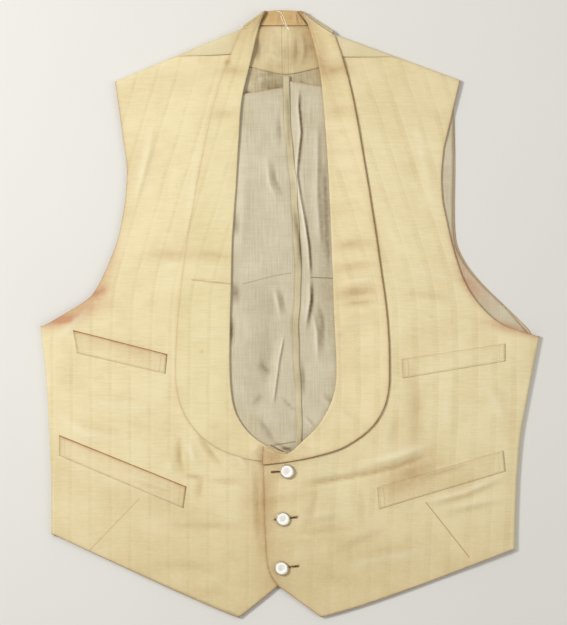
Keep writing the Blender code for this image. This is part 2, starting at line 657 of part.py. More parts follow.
def collar(side, pile):
    """Half of the shawl collar: folded under the back behind the neck, over the shoulder, and down the front.

    The fall is one wall all the way. Down the front it rolls under along the neck into a narrow stand.
    """
    table = COLLARS[side]
    fold = table[COLLAR_FOLD]
    axis, _ = direction(fold)
    out = np.array([-axis[1], axis[0]]) * outward(side)
    high = SHOULDER_AT_NECK + GAP + COLLAR_WALL + 0.2
    radius = high / 2
    to_centre = np.array([-outward(side), 0])
    following = table[COLLAR_FOLD + 1]
    to_front = np.array([following.roll_x - fold.roll_x, following.roll_y - fold.roll_y])
    to_front = to_front / np.linalg.norm(to_front)

    def plain_section(c, inset, z, roll_way):
        """The fall only. It is moved in from the fold, but along the roll at the end that lies there."""
        points = []
        for k in range(COLLAR_COLUMNS + 1):
            share = k / COLLAR_COLUMNS
            place = between(np.array([c.roll_x, c.roll_y]), np.array([c.edge_x, c.edge_y]), share)
            points.append((*(place + inset * between(roll_way, -out, smooth(share / 0.6))), z))
        return [None] * (ROLL_STEPS + 1) + points

    sections = []
    for c in refine(table[:COLLAR_FOLD + 1], COLLAR_ROWS["behind"])[:-1]:
        swing = smooth(1 - (fold.edge_x - c.edge_x) / (fold.edge_x - table[0].edge_x))
        sections.append(plain_section(c, radius * max(0.0, swing - 0.5) * 2, 0, to_centre))
    for k in range(COLLAR_ROWS["over"] + 1):
        angle = math.pi * (k / COLLAR_ROWS["over"] - 0.5)
        inset, z = radius * (1 - math.cos(angle)), radius * (1 + math.sin(angle))
        sections.append(plain_section(fold, inset, z, to_centre if angle < 0 else to_front))
    run = 0.0
    down = refine(table[COLLAR_FOLD:], COLLAR_ROWS["down"])
    line = np.array([[c.roll_x, c.roll_y] for c in down])
    for c, last, place, coming in zip(down[1:], line, line[1:], [*line[2:], line[-1]]):
        run += np.linalg.norm(place - last)
        along = (coming - last) / np.linalg.norm(coming - last)
        bulge = np.array([-along[1], along[0]]) * outward(side)
        settled = smooth(run / COLLAR_SPREAD)
        way, level = direction(c)
        lift = FREE_EDGE_LIFT[side] * settled

        def face_at(x, y, share):
            return between(high, pile.face(x, y, COLLAR_WALL) + lift * share**3, settled)

        lip = [place + way * reach + level * near for reach in (0, 1.5, 3) for near in (-6, -3, 0, 3, 6)]
        floor = max(pile.read(pile.bare, *spot) for spot in lip) + GAP
        roll_top = max(face_at(*(place + way * 4), 0), floor + ROLL_DEPTH)
        sections.append(collar_section(c, bulge, roll_top, min(roll_top - floor, LOOSEST_ROLL), face_at))
    first = len(sections) - COLLAR_ROWS["down"] + 3
    on_top = range(ROLL_STEPS + 1, ROLL_STEPS + COLLAR_COLUMNS + 1)
    laid = [section[ROLL_STEPS + 1][2] for section in sections]
    settle(sections, pile, COLLAR_WALL, range(first, len(sections) - 1), on_top)
    for section, z in zip(sections[first:], laid[first:]):
        raised = section[ROLL_STEPS + 1][2] - z
        section[:ROLL_STEPS + 1] = [(px, py, pz + raised) for px, py, pz in section[:ROLL_STEPS + 1]]
    return wall(f"collar_{side}", sections, COLLAR_WALL, "striped_twill")


def collar_stand():
    """The band that stands inside the back of the neck, laid on the part of the collar folded under it."""
    rows, columns = 3, 10
    upper, lower = even(STAND_TOP, columns), even(STAND_BOTTOM, columns)
    face = 2 * COLLAR_WALL + GAP
    grid = [[(*between(a, b, r / rows), face) for a, b in zip(upper, lower)] for r in range(rows + 1)]
    return wall("collar_stand", grid, COLLAR_WALL, "striped_twill")


def direction(c):
    """The way from a section's roll line to its outer edge, and the way along the collar."""
    way = np.array([c.edge_x - c.roll_x, c.edge_y - c.roll_y])
    way = way / np.linalg.norm(way)
    return way, np.array([-way[1], way[0]])


def refine(table, count):
    """The collar's sections again, evenly spaced along the mean of its two edges."""
    return [Collar(*values) for values in even([list(c) for c in table], count)]


def welt(w, panel):
    """A pocket welt: a strip made from the front's own points, moved out."""
    tree = BVHTree.FromObject(panel, bpy.context.evaluated_depsgraph_get())
    rows, columns = 3, 8
    grid = []
    for r in range(rows + 1):
        row = []
        for k in range(columns + 1):
            mouth = between(np.array(w.mouth_inner), np.array(w.mouth_outer), k / columns)
            foot = between(np.array(w.foot_inner), np.array(w.foot_outer), k / columns)
            x, y = between(mouth, foot, r / rows)
            hits = [tree.ray_cast(Vector((x + dx, y + dy, 100)) * MM, Vector((0, 0, -1)))[0]
                    for dx in (-8, -4, 0, 4, 8) for dy in (-4, 0, 4)]
            z = max(hit.z / MM for hit in hits if hit is not None)
            row.append((x, y, z + GAP + WELT_WALL + WELT_MOUTH_LIFT * (1 - r / rows) ** 2))
        grid.append(row)
    return wall(w.name, grid, WELT_WALL, "striped_twill")


def turned(name, profile, place, finish):
    """A turned piece: its outline from the top of the axis, round the outside, to the foot of the axis."""
    mesh = bpy.data.meshes.new(name)
    bm = bmesh.new()
    ring = [bm.verts.new((radius * MM, 0, z * MM)) for radius, z in profile]
    for a, b in zip(ring, ring[1:]):
        bm.edges.new((a, b))
    bm.to_mesh(mesh)
    bm.free()
    piece = bpy.data.objects.new(name, mesh)
    GARMENT.objects.link(piece)
    mesh.materials.append(material(finish))
    piece.location = Vector(place) * MM
    screw = piece.modifiers.new("Turned", "SCREW")
    screw.steps = screw.render_steps = TURNED_STEPS
    screw.use_merge_vertices = True
    screw.merge_threshold = 0.00005
    return piece


def button(b, lower, upper):
    """A pearl disc seated in a metal setting, whose shank passes through the hole to the front below."""
    graph = bpy.context.evaluated_depsgraph_get()
    trees = [BVHTree.FromObject(panel, graph) for panel in (lower, upper)]
    ring = np.arange(8) * math.pi / 4
    spots = [(0, 0)] + [(BUTTON_RADIUS * math.cos(a), BUTTON_RADIUS * math.sin(a)) for a in ring]
    heights = []
    for tree in trees:
        starts = [Vector((b.x + dx, b.y + dy, 100)) * MM for dx, dy in spots]
        hits = [tree.ray_cast(start, Vector((0, 0, -1)))[0] for start in starts]
        heights.append([hit.z / MM for hit in hits if hit is not None])
    foot = heights[0][0] + GAP
    base = max(heights[1]) + GAP
    inside = BUTTON_RADIUS - RIM_WIDTH
    setting = [
        (0, base + SEAT_HEIGHT), (inside, base + SEAT_HEIGHT), (inside, base + RIM_HEIGHT),
        (BUTTON_RADIUS - RIM_WIDTH / 3, base + RIM_HEIGHT),
        (BUTTON_RADIUS, base + RIM_HEIGHT - RIM_WIDTH / 3),
        (BUTTON_RADIUS, base + RIM_WIDTH), (BUTTON_RADIUS - RIM_WIDTH, base), (SHANK_RADIUS, base),
        (SHANK_RADIUS, foot), (0, foot),
    ]
    seat = base + SEAT_HEIGHT + GAP
    edge = inside - GAP
    pearl = [
        (0, seat + PEARL_HEIGHT), (edge - PEARL_BEVEL * 2, seat + PEARL_HEIGHT - PEARL_BEVEL / 4),
        (edge, seat + PEARL_HEIGHT - PEARL_BEVEL), (edge, seat), (0, seat),
    ]
    turned(f"setting_{b.name}", setting, (b.x, b.y, 0), "metal_setting")
    turned(f"pearl_{b.name}", pearl, (b.x, b.y, 0), "pearl")


def cut_buttonholes(panel):
    """Three slots through the left front, one for each button."""
    mesh = bpy.data.meshes.new("buttonholes")
    bm = bmesh.new()
    for b in BUTTONS:
        made = bmesh.ops.create_cube(bm, size=1)["verts"]
        length = b.hole_end - b.hole_start
        middle = (b.hole_start + b.hole_end) / 2
        turn = math.radians(b.hole_tilt)
        for v in made:
            x, y, z = v.co.x * length, v.co.y * HOLE_WIDTH, v.co.z * 30
            v.co.x = (middle + x * math.cos(turn) - y * math.sin(turn)) * MM
            v.co.y = (b.y + (middle - b.x) * math.sin(turn) + x * math.sin(turn) + y * math.cos(turn)) * MM
            v.co.z = z * MM
    bm.to_mesh(mesh)
    bm.free()
    cutter = bpy.data.objects.new("buttonholes", mesh)
    CUTTERS.objects.link(cutter)
    cutter.hide_render = True
    cutter.display_type = "WIRE"
    cut = panel.modifiers.new("Buttonholes", "BOOLEAN")
    cut.operation = "DIFFERENCE"
    cut.object = cutter
    bpy.context.view_layer.update()


def lay_out():
    """Lays the garment down from the table up, each piece on those before it.

    The fronts lie on what is inside the garment, and the collar also on the backs where they lap over the
    shoulders.
    """
    inside, outside = Pile(), Pile()
    for side in ("left", "right"):
        piece = back(side)
        inside.add(piece, top=BACK_INSIDE)
        outside.add(piece)

    def lay(piece):
        inside.add(piece)
        outside.add(piece)
        return piece

    lay(collar_stand())
    lay(upper_lining(inside))
    lay(neck_facing(inside))
    for piece in [lining(side, inside) for side in ("left", "right")]:
        lay(piece)
    lay(centre_tape(inside))
    fronts = {}
    for side in ("right", "left"):
        fronts[side] = front(side, inside)
        if side == "left":
            cut_buttonholes(fronts[side])
        lay(fronts[side])
        for w in WELTS[side]:
            welt(w, fronts[side])
        lay(collar(side, outside))
    for b in BUTTONS:
        button(b, fronts["right"], fronts["left"])


clear_scene()
GARMENT = collection("waistcoat")
CUTTERS = collection("cutters")
lay_out()
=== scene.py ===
# %% [markdown]
# # An old cotton waistcoat, laid flat
# The garment lies buttoned on its back, and we look straight down on it. In real life it is a tube of thin
# cloth, so this file never makes a thick block: each pattern piece that the tailor cut is one sheet, shaped
# over the CAD solid of the same name. The solids say where everything is. This file gives the cloth its
# folds, its weave, its stains and its light.

# %% Load the fixed frame
import math
from collections import namedtuple

import bmesh
import bpy
import numpy as np
from mathutils import Matrix, Vector
from mathutils.bvhtree import BVHTree
from mathutils.kdtree import KDTree


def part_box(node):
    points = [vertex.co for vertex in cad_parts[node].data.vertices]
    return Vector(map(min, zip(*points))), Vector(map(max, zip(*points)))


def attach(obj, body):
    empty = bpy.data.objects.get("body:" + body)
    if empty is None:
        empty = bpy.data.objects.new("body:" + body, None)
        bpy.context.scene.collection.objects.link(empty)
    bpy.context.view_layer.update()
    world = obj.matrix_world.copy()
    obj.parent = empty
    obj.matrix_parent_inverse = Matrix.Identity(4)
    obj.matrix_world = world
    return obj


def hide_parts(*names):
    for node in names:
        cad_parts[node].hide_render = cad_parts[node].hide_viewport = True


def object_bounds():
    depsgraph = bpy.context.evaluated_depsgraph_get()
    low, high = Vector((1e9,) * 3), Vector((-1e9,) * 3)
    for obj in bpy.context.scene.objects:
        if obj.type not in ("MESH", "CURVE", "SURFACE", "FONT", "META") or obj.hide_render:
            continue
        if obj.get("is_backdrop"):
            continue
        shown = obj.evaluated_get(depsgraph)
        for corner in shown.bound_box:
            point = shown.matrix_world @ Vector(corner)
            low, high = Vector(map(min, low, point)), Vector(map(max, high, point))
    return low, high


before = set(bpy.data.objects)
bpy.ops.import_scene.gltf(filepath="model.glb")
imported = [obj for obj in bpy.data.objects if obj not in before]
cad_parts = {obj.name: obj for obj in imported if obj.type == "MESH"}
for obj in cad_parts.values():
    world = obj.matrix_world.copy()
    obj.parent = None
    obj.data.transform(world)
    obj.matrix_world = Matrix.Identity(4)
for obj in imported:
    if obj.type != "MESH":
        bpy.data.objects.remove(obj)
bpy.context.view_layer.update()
MM = 0.001

# %% [markdown]
# ## Camera, floor and light
# The photograph was taken straight from above, as museums photograph flat costume. A long lens keeps the
# outline true, so the camera is 1.7 m up with a 100 mm lens. Its sensor covers the picture's long side, and
# one pixel is then one millimetre on the table.

# %% Camera
IMAGE_HEIGHT = 625  # pixels, and millimetres on the table
LENS, SENSOR = 100.0, 36.0
AIM = (-0.0065, 0.0015)  # m: the place on the table under the lens
camera_data = bpy.data.cameras.new("camera")
camera_data.lens = LENS
camera_data.sensor_width = SENSOR
camera = bpy.data.objects.new("camera", camera_data)
camera.location = (*AIM, IMAGE_HEIGHT * MM * LENS / SENSOR)
bpy.context.scene.collection.objects.link(camera)
bpy.context.scene.camera = camera
print("camera height:", round(camera.location.z, 3), "m")

# %% [markdown]
# The light comes mostly from the upper left, low enough to draw the edge of each fold, with a weaker one from
# the right so that no shadow goes black. Area lights are the nearest thing to a photographer's soft boxes.

# %% Lights
ROOM_LIGHT = 0.38  # strength of the even light from all round, which keeps the shadows open
Lamp = namedtuple("Lamp", "name place size power")
LAMPS = [
    Lamp("key_left", (-1.05, 0.4, 1.4), 0.35, 20),
    Lamp("fill_right", (1.4, -0.3, 1.4), 1.0, 6.5),
    Lamp("top_soft", (0.0, 0.9, 1.9), 1.4, 6),
]
for lamp in LAMPS:
    light = bpy.data.lights.new(lamp.name, "AREA")
    light.size = lamp.size
    light.energy = lamp.power
    holder = bpy.data.objects.new(lamp.name, light)
    holder.location = lamp.place
    holder.rotation_euler = (-Vector(lamp.place)).to_track_quat("-Z", "Y").to_euler()
    bpy.context.scene.collection.objects.link(holder)
world = bpy.data.worlds.new("studio")
world.use_nodes = True
world.node_tree.nodes["Background"].inputs["Color"].default_value = (1.0, 0.98, 0.95, 1)
world.node_tree.nodes["Background"].inputs["Strength"].default_value = ROOM_LIGHT
bpy.context.scene.world = world
bpy.context.scene.view_settings.view_transform = "Standard"
print("lights:", len(LAMPS))

# %% [markdown]
# ## Small helpers
# Patterns are drawn in millimetres, as a tailor would. `even` walks along a smooth curve through a few chalk
# marks, which is how a curved armhole is drawn from a short table.

# %% Curves and easing


def smooth(t):
    t = np.clip(t, 0, 1)
    return t * t * (3 - 2 * t)


def between(a, b, t):
    return a + (b - a) * t


def even(points, count):
    """count + 1 places, evenly spaced on a smooth curve through the points."""
    p = np.array(points, float)
    if len(p) > 2:
        ends = np.vstack([2 * p[0] - p[1], p, 2 * p[-1] - p[-2]])
        t = np.linspace(0, 1, 16, endpoint=False)[:, None]
        spans = []
        for a, b, c, d in zip(ends, ends[1:], ends[2:], ends[3:]):
            spans.append(0.5 * (2 * b + (c - a) * t + (2 * a - 5 * b + 4 * c - d) * t**2
                                + (3 * b - a - 3 * c + d) * t**3))
        p = np.vstack([*spans, p[-1:]])
    run = np.concatenate([[0], np.cumsum(np.linalg.norm(np.diff(p, axis=0), axis=1))])
    at = np.linspace(0, run[-1], count + 1)
    return np.column_stack([np.interp(at, run, p[:, k]) for k in range(p.shape[1])])


def outward(side):
    return 1 if side == "left" else -1


print("the middle of a small curve:", even([(0, 0), (1, 1), (2, 0)], 2)[1])


# %% [markdown]
# ## The pattern
# Left and right are the wearer's, so the wearer's left is at +X. These tables are the chalk lines: the same
# ones that the CAD solids were cut from.

# %% Pattern: backs, shoulders and sides
Point = namedtuple("Point", "x y")
Shoulder = namedtuple("Shoulder", "neck tip seam_at_neck seam_at_tip row_inner row_outer")
Collar = namedtuple("Collar", "roll_x roll_y edge_x edge_y stand")
Welt = namedtuple("Welt", "name mouth_inner mouth_outer foot_inner foot_outer")
Button = namedtuple("Button", "name x y hole_start hole_end hole_tilt")
SIDE = 249.0  # from the middle to each side, under the arm
SIDE_FOLD, SIDE_LIP, SIDE_GAP = 6.4, 2.0, 0.7  # height of the side's fold, cloth past it, gap to the back
SHOULDER_AT_NECK, SHOULDER_AT_TIP = 7.7, 4.9  # height of the shoulder's fold at its two ends
COLLAR_HIGH = 9.6  # the collar's face where it crosses the shoulder
CENTRE_BACK = [
    Point(-8, 287.6), Point(-4.3, 240), Point(-2.6, 200), Point(1.6, 144), Point(6.8, 81),
    Point(7.9, 39), Point(6.2, -3), Point(6.8, -45), Point(9.6, -130), Point(10, -200), Point(10, -262),
]
SHOULDERS = {
    "left": Shoulder(Point(23, 286.9), Point(170, 233.5), 33, -22, Point(39, 230), Point(153.5, 165)),
    "right": Shoulder(Point(-33.5, 291), Point(-174.5, 232), 34, -22, Point(-50.5, 230), Point(-163.2, 152)),
}
SIDES = {
    "left": [Point(SIDE, -22), Point(240, -68), Point(233.3, -103), Point(229.7, -126),
             Point(226.6, -163), Point(225.2, -200), Point(224.4, -235)],
    "right": [Point(-SIDE, -12), Point(-244, -56), Point(-241.2, -98), Point(-240, -122),
              Point(-238.2, -163), Point(-238.2, -190), Point(-238.2, -220)],
}
WAIST, SKIRT = slice(0, 5), slice(4, 7)  # the marks of a side above and below the waist
BACK_ARMHOLES = {
    "left": [Point(164.2, 200), Point(165.3, 155), Point(165.3, 82), Point(173, 56), Point(190.8, 32),
             Point(219.4, 4), Point(245.5, -21.5)],
    "right": [Point(-165.5, 200), Point(-159, 150), Point(-161, 110), Point(-170, 68), Point(-188, 30),
              Point(-214, 4), Point(-243.5, -12)],
}
BACK_ROW = 238.0  # where the straight rows of the back begin
BACK_HEMS = {
    "left": [Point(10, -262), Point(45, -275), Point(96, -277), Point(150, -257.5), Point(219, -233)],
    "right": [Point(10, -262), Point(-60, -262), Point(-150, -246), Point(-233, -217)],
}
print("marks on the centre back:", len(CENTRE_BACK))

# %% Pattern: fronts
ARMHOLES = {
    "left": [Point(153.5, 165), Point(151.3, 140), Point(152.2, 116), Point(156, 95), Point(164.5, 60),
             Point(174.5, 32), Point(188.5, 10), Point(208, -8), Point(228, -16.5), Point(SIDE - 3, -22)],
    "right": [Point(-163.2, 152), Point(-162.6, 140), Point(-165, 110), Point(-171.6, 76), Point(-182, 48),
              Point(-194, 24), Point(-205, 12.5), Point(-237, -7), Point(3 - SIDE, -12)],
}
NECKS = {
    "left": [Point(39, 230), Point(42, 175), Point(45, 124), Point(47.5, 60), Point(50, -4),
             Point(51.8, -58)],
    "right": [Point(-50.5, 230), Point(-57, 175), Point(-60, 124), Point(-63.5, 76), Point(-64.7, 28),
              Point(-65.8, -24), Point(-65.2, -62)],
}
NECK_BOTTOMS = {
    "left": [Point(51.8, -58), Point(47, -91), Point(35, -114), Point(17, -132), Point(0, -142),
             Point(-13, -145), Point(-27, -146)],
    "right": [Point(-65.2, -62), Point(-60, -99), Point(-47, -121), Point(-29, -134), Point(-8, -142.5),
              Point(12, -146)],
}
FRONT_EDGES = {
    "left": [Point(-27, -146), Point(-26, -180), Point(-25, -215), Point(-23, -245), Point(-19, -261),
             Point(-12, -271)],
    "right": [Point(12, -146), Point(12, -180), Point(11, -215), Point(10, -245)],
}
POINTS = {
    "left": [Point(-12, -271), Point(31, -302.5)],
    "right": [Point(10, -245), Point(-12, -271), Point(-51, -303)],
}
HEM_BOWS = {"left": 3.4, "right": 1.8}  # how far the hem of each front swings out
SKIRT_SPLIT = 0.87  # the share of the lower side that ends at the front's point
print("marks on the armholes:", [len(line) for line in ARMHOLES.values()])

# %% Pattern: collar, pockets and buttons
COLLARS = {
    "left": [
        Collar(-7.1, 303, -7.1, 268, 4), Collar(-4, 303, 4, 268.5, 4), Collar(0, 303, 23, 271, 4),
        Collar(7, 303, 39, 278, 4), Collar(10, 303, 44, 281.6, 4),
        Collar(13.5, 296, 46.5, 272, 4), Collar(19, 285, 51, 259, 3.4), Collar(27, 255, 58, 234, 4),
        Collar(32, 223, 65, 203, 4), Collar(36, 175, 73.5, 155, 4), Collar(39, 124, 79.5, 119, 4),
        Collar(41.7, 60, 87.5, 66, 4), Collar(44, -4, 96.5, 0, 4), Collar(46, -44, 99, -48, 4),
        Collar(45.7, -68, 97, -83, 4), Collar(41, -88, 84, -110, 4), Collar(29, -110, 58, -130.5, 3),
        Collar(13, -126, 30, -140.3, 3), Collar(-4.5, -139, 0, -146.3, 3), Collar(-27, -131, -28, -150, 3),
    ],
    "right": [
        Collar(-7.4, 303, -7.4, 268, 4), Collar(-10.5, 303, -15, 268.5, 4), Collar(-14.5, 303, -30, 273, 4),
        Collar(-21.5, 303, -43, 284, 4), Collar(-25, 303, -47, 287.6, 4),
        Collar(-27, 297, -50, 279, 4), Collar(-31, 285, -56, 265, 3.6), Collar(-39.5, 250, -66, 241, 4),
        Collar(-48, 213, -77, 206, 4), Collar(-51, 175, -84.5, 172, 4), Collar(-54, 124, -93.5, 126, 4),
        Collar(-57.5, 76, -101.5, 79, 4), Collar(-58.7, 28, -108.5, 28, 4), Collar(-60, -24, -113.2, -25, 4),
        Collar(-59.5, -68, -113.4, -72, 4), Collar(-55, -96, -103, -104, 4), Collar(-43, -116, -80, -129, 3),
        Collar(-27, -129, -48, -143.3, 3), Collar(-12, -136, -20, -147.3, 3), Collar(-3, -138, -4, -149, 3),
    ],
}
COLLAR_FOLD = 4  # the section that lies on the fold of the shoulder
STAND_TOP = [Point(-21.8, 302.2), Point(-14, 303), Point(-1, 303), Point(6.8, 302.2)]
STAND_BOTTOM = [Point(-30, 288.2), Point(-15, 288), Point(0, 288), Point(17.5, 288.2)]
WELTS = {
    "right": [
        Welt("welt_breast_right", Point(-122.5, -40), Point(-216, -16), Point(-124.5, -59.5),
             Point(-212, -39)),
        Welt("welt_waist_right", Point(-103.5, -172), Point(-230, -120.5), Point(-106.5, -193.5),
             Point(-230, -141)),
    ],
    "left": [
        Welt("welt_breast_left", Point(111.5, -45), Point(214.5, -29.5), Point(112.5, -64),
             Point(214.5, -47)),
        Welt("welt_waist_left", Point(87, -173), Point(212.5, -136), Point(89, -194.5), Point(214.5, -156.5)),
    ],
}
BUTTONS = [
    Button("top", -3, -156.3, -18.5, -1, 4), Button("middle", -7, -203.7, -15.5, 7, 6),
    Button("bottom", -8.5, -252.8, -11, 8.5, 6),
]
print("pattern pieces are drawn; buttons:", len(BUTTONS))

# %% [markdown]
# ## Reading where the solids lie
# Cloth on a table takes the height of what is under it. Instead of working that out again, each sheet reads
# the upper face of its own CAD solid: a ray is shot down at every 3 mm, empty cells borrow from their
# neighbours, and a soft blur takes the facets out. The result is a height for any place.

# %% Relief of a CAD piece


class Relief:
    """The smoothed height of one side of a CAD piece, in millimetres."""

    CELL = 3.0
    FILL = 10  # how many cells beyond its edge a piece can be read

    def __init__(self, node, blur=1.3, below=False):
        low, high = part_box(node)
        margin = self.FILL * self.CELL
        self.low = np.array(low[:2]) / MM - margin
        shape = ((np.array(high[:2]) / MM + margin - self.low) / self.CELL).astype(int) + 2
        tree = BVHTree.FromObject(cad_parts[node], bpy.context.evaluated_depsgraph_get())
        start, way = (-1.0, Vector((0, 0, 1))) if below else (1.0, Vector((0, 0, -1)))
        self.heights = np.full(shape, np.nan)
        for i in range(shape[0]):
            for j in range(shape[1]):
                x, y = (self.low + np.array([i, j]) * self.CELL) * MM
                hit = tree.ray_cast(Vector((x, y, start)), way)[0]
                if hit is not None:
                    self.heights[i, j] = hit.z / MM
        for _ in range(self.FILL * 2):
            self.fill()
        self.heights = np.nan_to_num(self.heights, nan=float(np.nanmean(self.heights)))
        taps = np.exp(-0.5 * (np.arange(-4, 5) / blur) ** 2)
        for axis in (0, 1):
            padded = np.pad(self.heights, [(4, 4) if k == axis else (0, 0) for k in (0, 1)], mode="edge")
            self.heights = np.apply_along_axis(np.convolve, axis, padded, taps / taps.sum(), "valid")

    def fill(self):
        """Gives each empty cell the mean of its neighbours that are known."""
        padded = np.pad(self.heights, 1, constant_values=np.nan)
        rows, columns = self.heights.shape
        near = [padded[1 + i:1 + i + rows, 1 + j:1 + j + columns] for i in (-1, 0, 1) for j in (-1, 0, 1)]
        known = np.isfinite(near)
        count = known.sum(0)
        mean = np.where(known, near, 0).sum(0) / np.maximum(count, 1)
        self.heights = np.where(np.isnan(self.heights) & (count > 0), mean, self.heights)

    def read(self, x, y):
        at = (np.stack([x, y], axis=-1) - self.low) / self.CELL
        at = np.clip(at, 0, np.array(self.heights.shape) - 1.001)
        i, j = at[..., 0].astype(int), at[..., 1].astype(int)
        s, t = at[..., 0] - i, at[..., 1] - j
        near = between(self.heights[i, j], self.heights[i + 1, j], s)
        far = between(self.heights[i, j + 1], self.heights[i + 1, j + 1], s)
        return between(near, far, t)


reliefs = {name: Relief(name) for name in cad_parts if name.split("_")[0] in
           ("front", "collar", "lining", "upper", "neck", "centre")}
roll_floors = {side: Relief(f"collar_{side}", below=True) for side in ("left", "right")}
print("reliefs:", sorted(reliefs))

# %% [markdown]
# ## Soft folds
# Old linen and cotton remember how they were folded in the drawer. Each fold is a path of a few points with
# a half width and a height: a ridge if the height is positive, a trough if it is negative. Its last number
# says how much painted shade darkens a ridge's shaded side or the middle of a trough, which makes an old
# crease show even in flat light. Ridges also get a painted highlight along their lit side.
# Simulated cloth would put them anywhere, so they are placed where the photograph shows them.

# %% Folds
STEEP, GENTLE = 0.7, 1.25  # widths of a fold's two sides, as shares of its half width
TAPER = 10  # half widths over which a fold fades out at each end
Fold = namedtuple("Fold", "path width height dust", defaults=(0,))


def near_path(path, x, y):
    """Distance to a path, on which side of it, and how far along it, with its length."""
    best = np.full(np.shape(x), 1e6)
    side, along = np.zeros(np.shape(x)), np.zeros(np.shape(x))
    run = 0.0
    for (x0, y0), (x1, y1) in zip(path, path[1:]):
        length = math.hypot(x1 - x0, y1 - y0)
        way = ((x1 - x0) / length, (y1 - y0) / length)
        t = np.clip((x - x0) * way[0] + (y - y0) * way[1], 0, length)
        away = np.hypot(x - x0 - t * way[0], y - y0 - t * way[1])
        nearer = away < best
        best = np.where(nearer, away, best)
        turn = (x - x0) * way[1] - (y - y0) * way[0]
        side, along = np.where(nearer, np.sign(turn), side), np.where(nearer, run + t, along)
        run += length
    return best, side, along, run


def fold_shape(f, x, y, spread=1.0, shift=0.0):
    """A soft ridge along a fold's path, from 0 to 1, steeper on its far side, that fades out at both ends."""
    away, side, along, length = near_path(f.path, x, y)
    away = away * side - shift * f.width
    width = f.width * spread * np.where(away < 0, STEEP, GENTLE)
    taper = min(0.5 * length, TAPER * f.width)
    ends = smooth(along / taper + 0.05) * smooth((length - along) / taper + 0.05)
    return np.exp(-((away / width) ** 2)) * ends


def drape(folds, x, y):
    """How far the folds raise or lower the cloth at each place."""
    return sum((f.height * fold_shape(f, x, y) for f in folds), np.zeros(np.shape(x)))


def painted_highlight(folds, x, y):
    """Painted highlight: a paler band along each ridge, on its lit side."""
    ridges = [f for f in folds if f.height > 0]
    highlight = (min(1.0, 0.5 * f.height) * fold_shape(f, x, y, spread=0.6, shift=0.35) for f in ridges)
    return sum(highlight, np.zeros(np.shape(x)))


def dust(folds, x, y):
    """Painted shade from the folds at each place: beside a ridge on its shaded side, or in the middle of a
    trough.
    """
    total = np.zeros(np.shape(x))
    for f in folds:
        if f.dust:
            shift = -0.8 if f.height > 0 else 0.0
            total = total + f.dust * fold_shape(f, x, y, spread=0.9, shift=shift)
    return total


FRONT_FOLDS = [
    Fold([(-94, -114), (-82, -134), (-64, -158)], 3.2, -1.7, 0.8),
    Fold([(-102, -122), (-92, -152)], 5, 1.2, 0.1),
    Fold([(-110, -120), (-110, -146), (-105, -164)], 2.8, -1.6, 1.0),
    Fold([(-108, -160), (-84, -164)], 2.4, -0.9, 0.8), Fold([(-87, -158), (-92, -190)], 4, -1.1, 0.7),
    Fold([(-120, -140), (-118, -162)], 4, 0.9), Fold([(-60, -128), (-40, -156)], 3.5, 1.17, 0.26),
    Fold([(-163, -159), (-112, -176)], 2.6, 0.65, 0.16),
    Fold([(-160, -165), (-110, -182)], 2.4, -0.65, 0.2),
    Fold([(-158, -172), (-108, -188)], 2.6, 0.65, 0.16), Fold([(-90, -166), (-37, -167)], 3.5, -0.78, 0.39),
    Fold([(-133, -211), (-40, -212)], 4, -0.91, 0.36), Fold([(-150, -250), (-60, -254)], 6, -0.78, 0.33),
    Fold([(-110, -276), (-58, -280)], 5, -0.65, 0.26), Fold([(-240, -30), (-195, 14)], 5, 1.17, 0.2),
    Fold([(-215, -84), (-120, -92)], 7, 0.65, 0.2), Fold([(-142, 62), (-100, 58)], 4, -0.78, 0.45),
    Fold([(-142, 48), (-104, 52)], 5, 0.65), Fold([(-132, 205), (-141, 160), (-156, 100)], 5, 1.04, 0.13),
    Fold([(-110, 190), (-128, 90)], 6, -0.78), Fold([(-88, 180), (-104, 60)], 6, 0.65),
    Fold([(-235, -95), (-205, -116), (-160, -124)], 6, 0.91, 0.2),
    Fold([(147, -138), (103, -154), (60, -163), (7, -171)], 3.2, -1.43, 0.98),
    Fold([(150, -128), (106, -143), (62, -154)], 5, 1.17),
    Fold([(220, -159), (173, -179), (127, -191)], 4, 1.3, 0.39),
    Fold([(225, -180), (180, -190), (140, -200)], 5, 0.78, 0.26),
    Fold([(182, -146), (127, -163)], 2.6, 0.78, 0.39),
    Fold([(-34, -142), (-33, -186), (-31, -235)], 3.6, -1.4, 1.0),
    Fold([(30, -168), (22, -196), (13, -224)], 4.5, -1.0, 0.5),
    Fold([(70, -166), (74, -220)], 5, -0.9, 0.4), Fold([(38, -240), (70, -226), (102, -213)], 5, -1.0, 0.5),
    Fold([(70, -213), (30, -218), (-7, -219)], 3.6, -1.04, 0.45),
    Fold([(60, -196), (10, -206)], 5, 0.78, 0.13),
    Fold([(48, -248), (110, -238), (150, -226)], 6, 0.91, 0.33),
    Fold([(20, -262), (80, -268)], 6, -0.65, 0.26), Fold([(176, 66), (188, 30)], 4, 0.91, 0.26),
    Fold([(104, 22), (170, 16)], 5, -0.65, 0.33), Fold([(104, 47), (160, 42)], 6, 0.52),
    Fold([(125, 210), (135, 150), (150, 90)], 7, 0.65),
    Fold([(120, -40), (128, -90), (126, -135)], 7, -1.04, 0.39), Fold([(160, -60), (158, -120)], 9, 0.78),
    Fold([(100, -100), (96, -140)], 6, 0.65, 0.13), Fold([(200, -66), (214, -110)], 7, 0.78, 0.2),
]
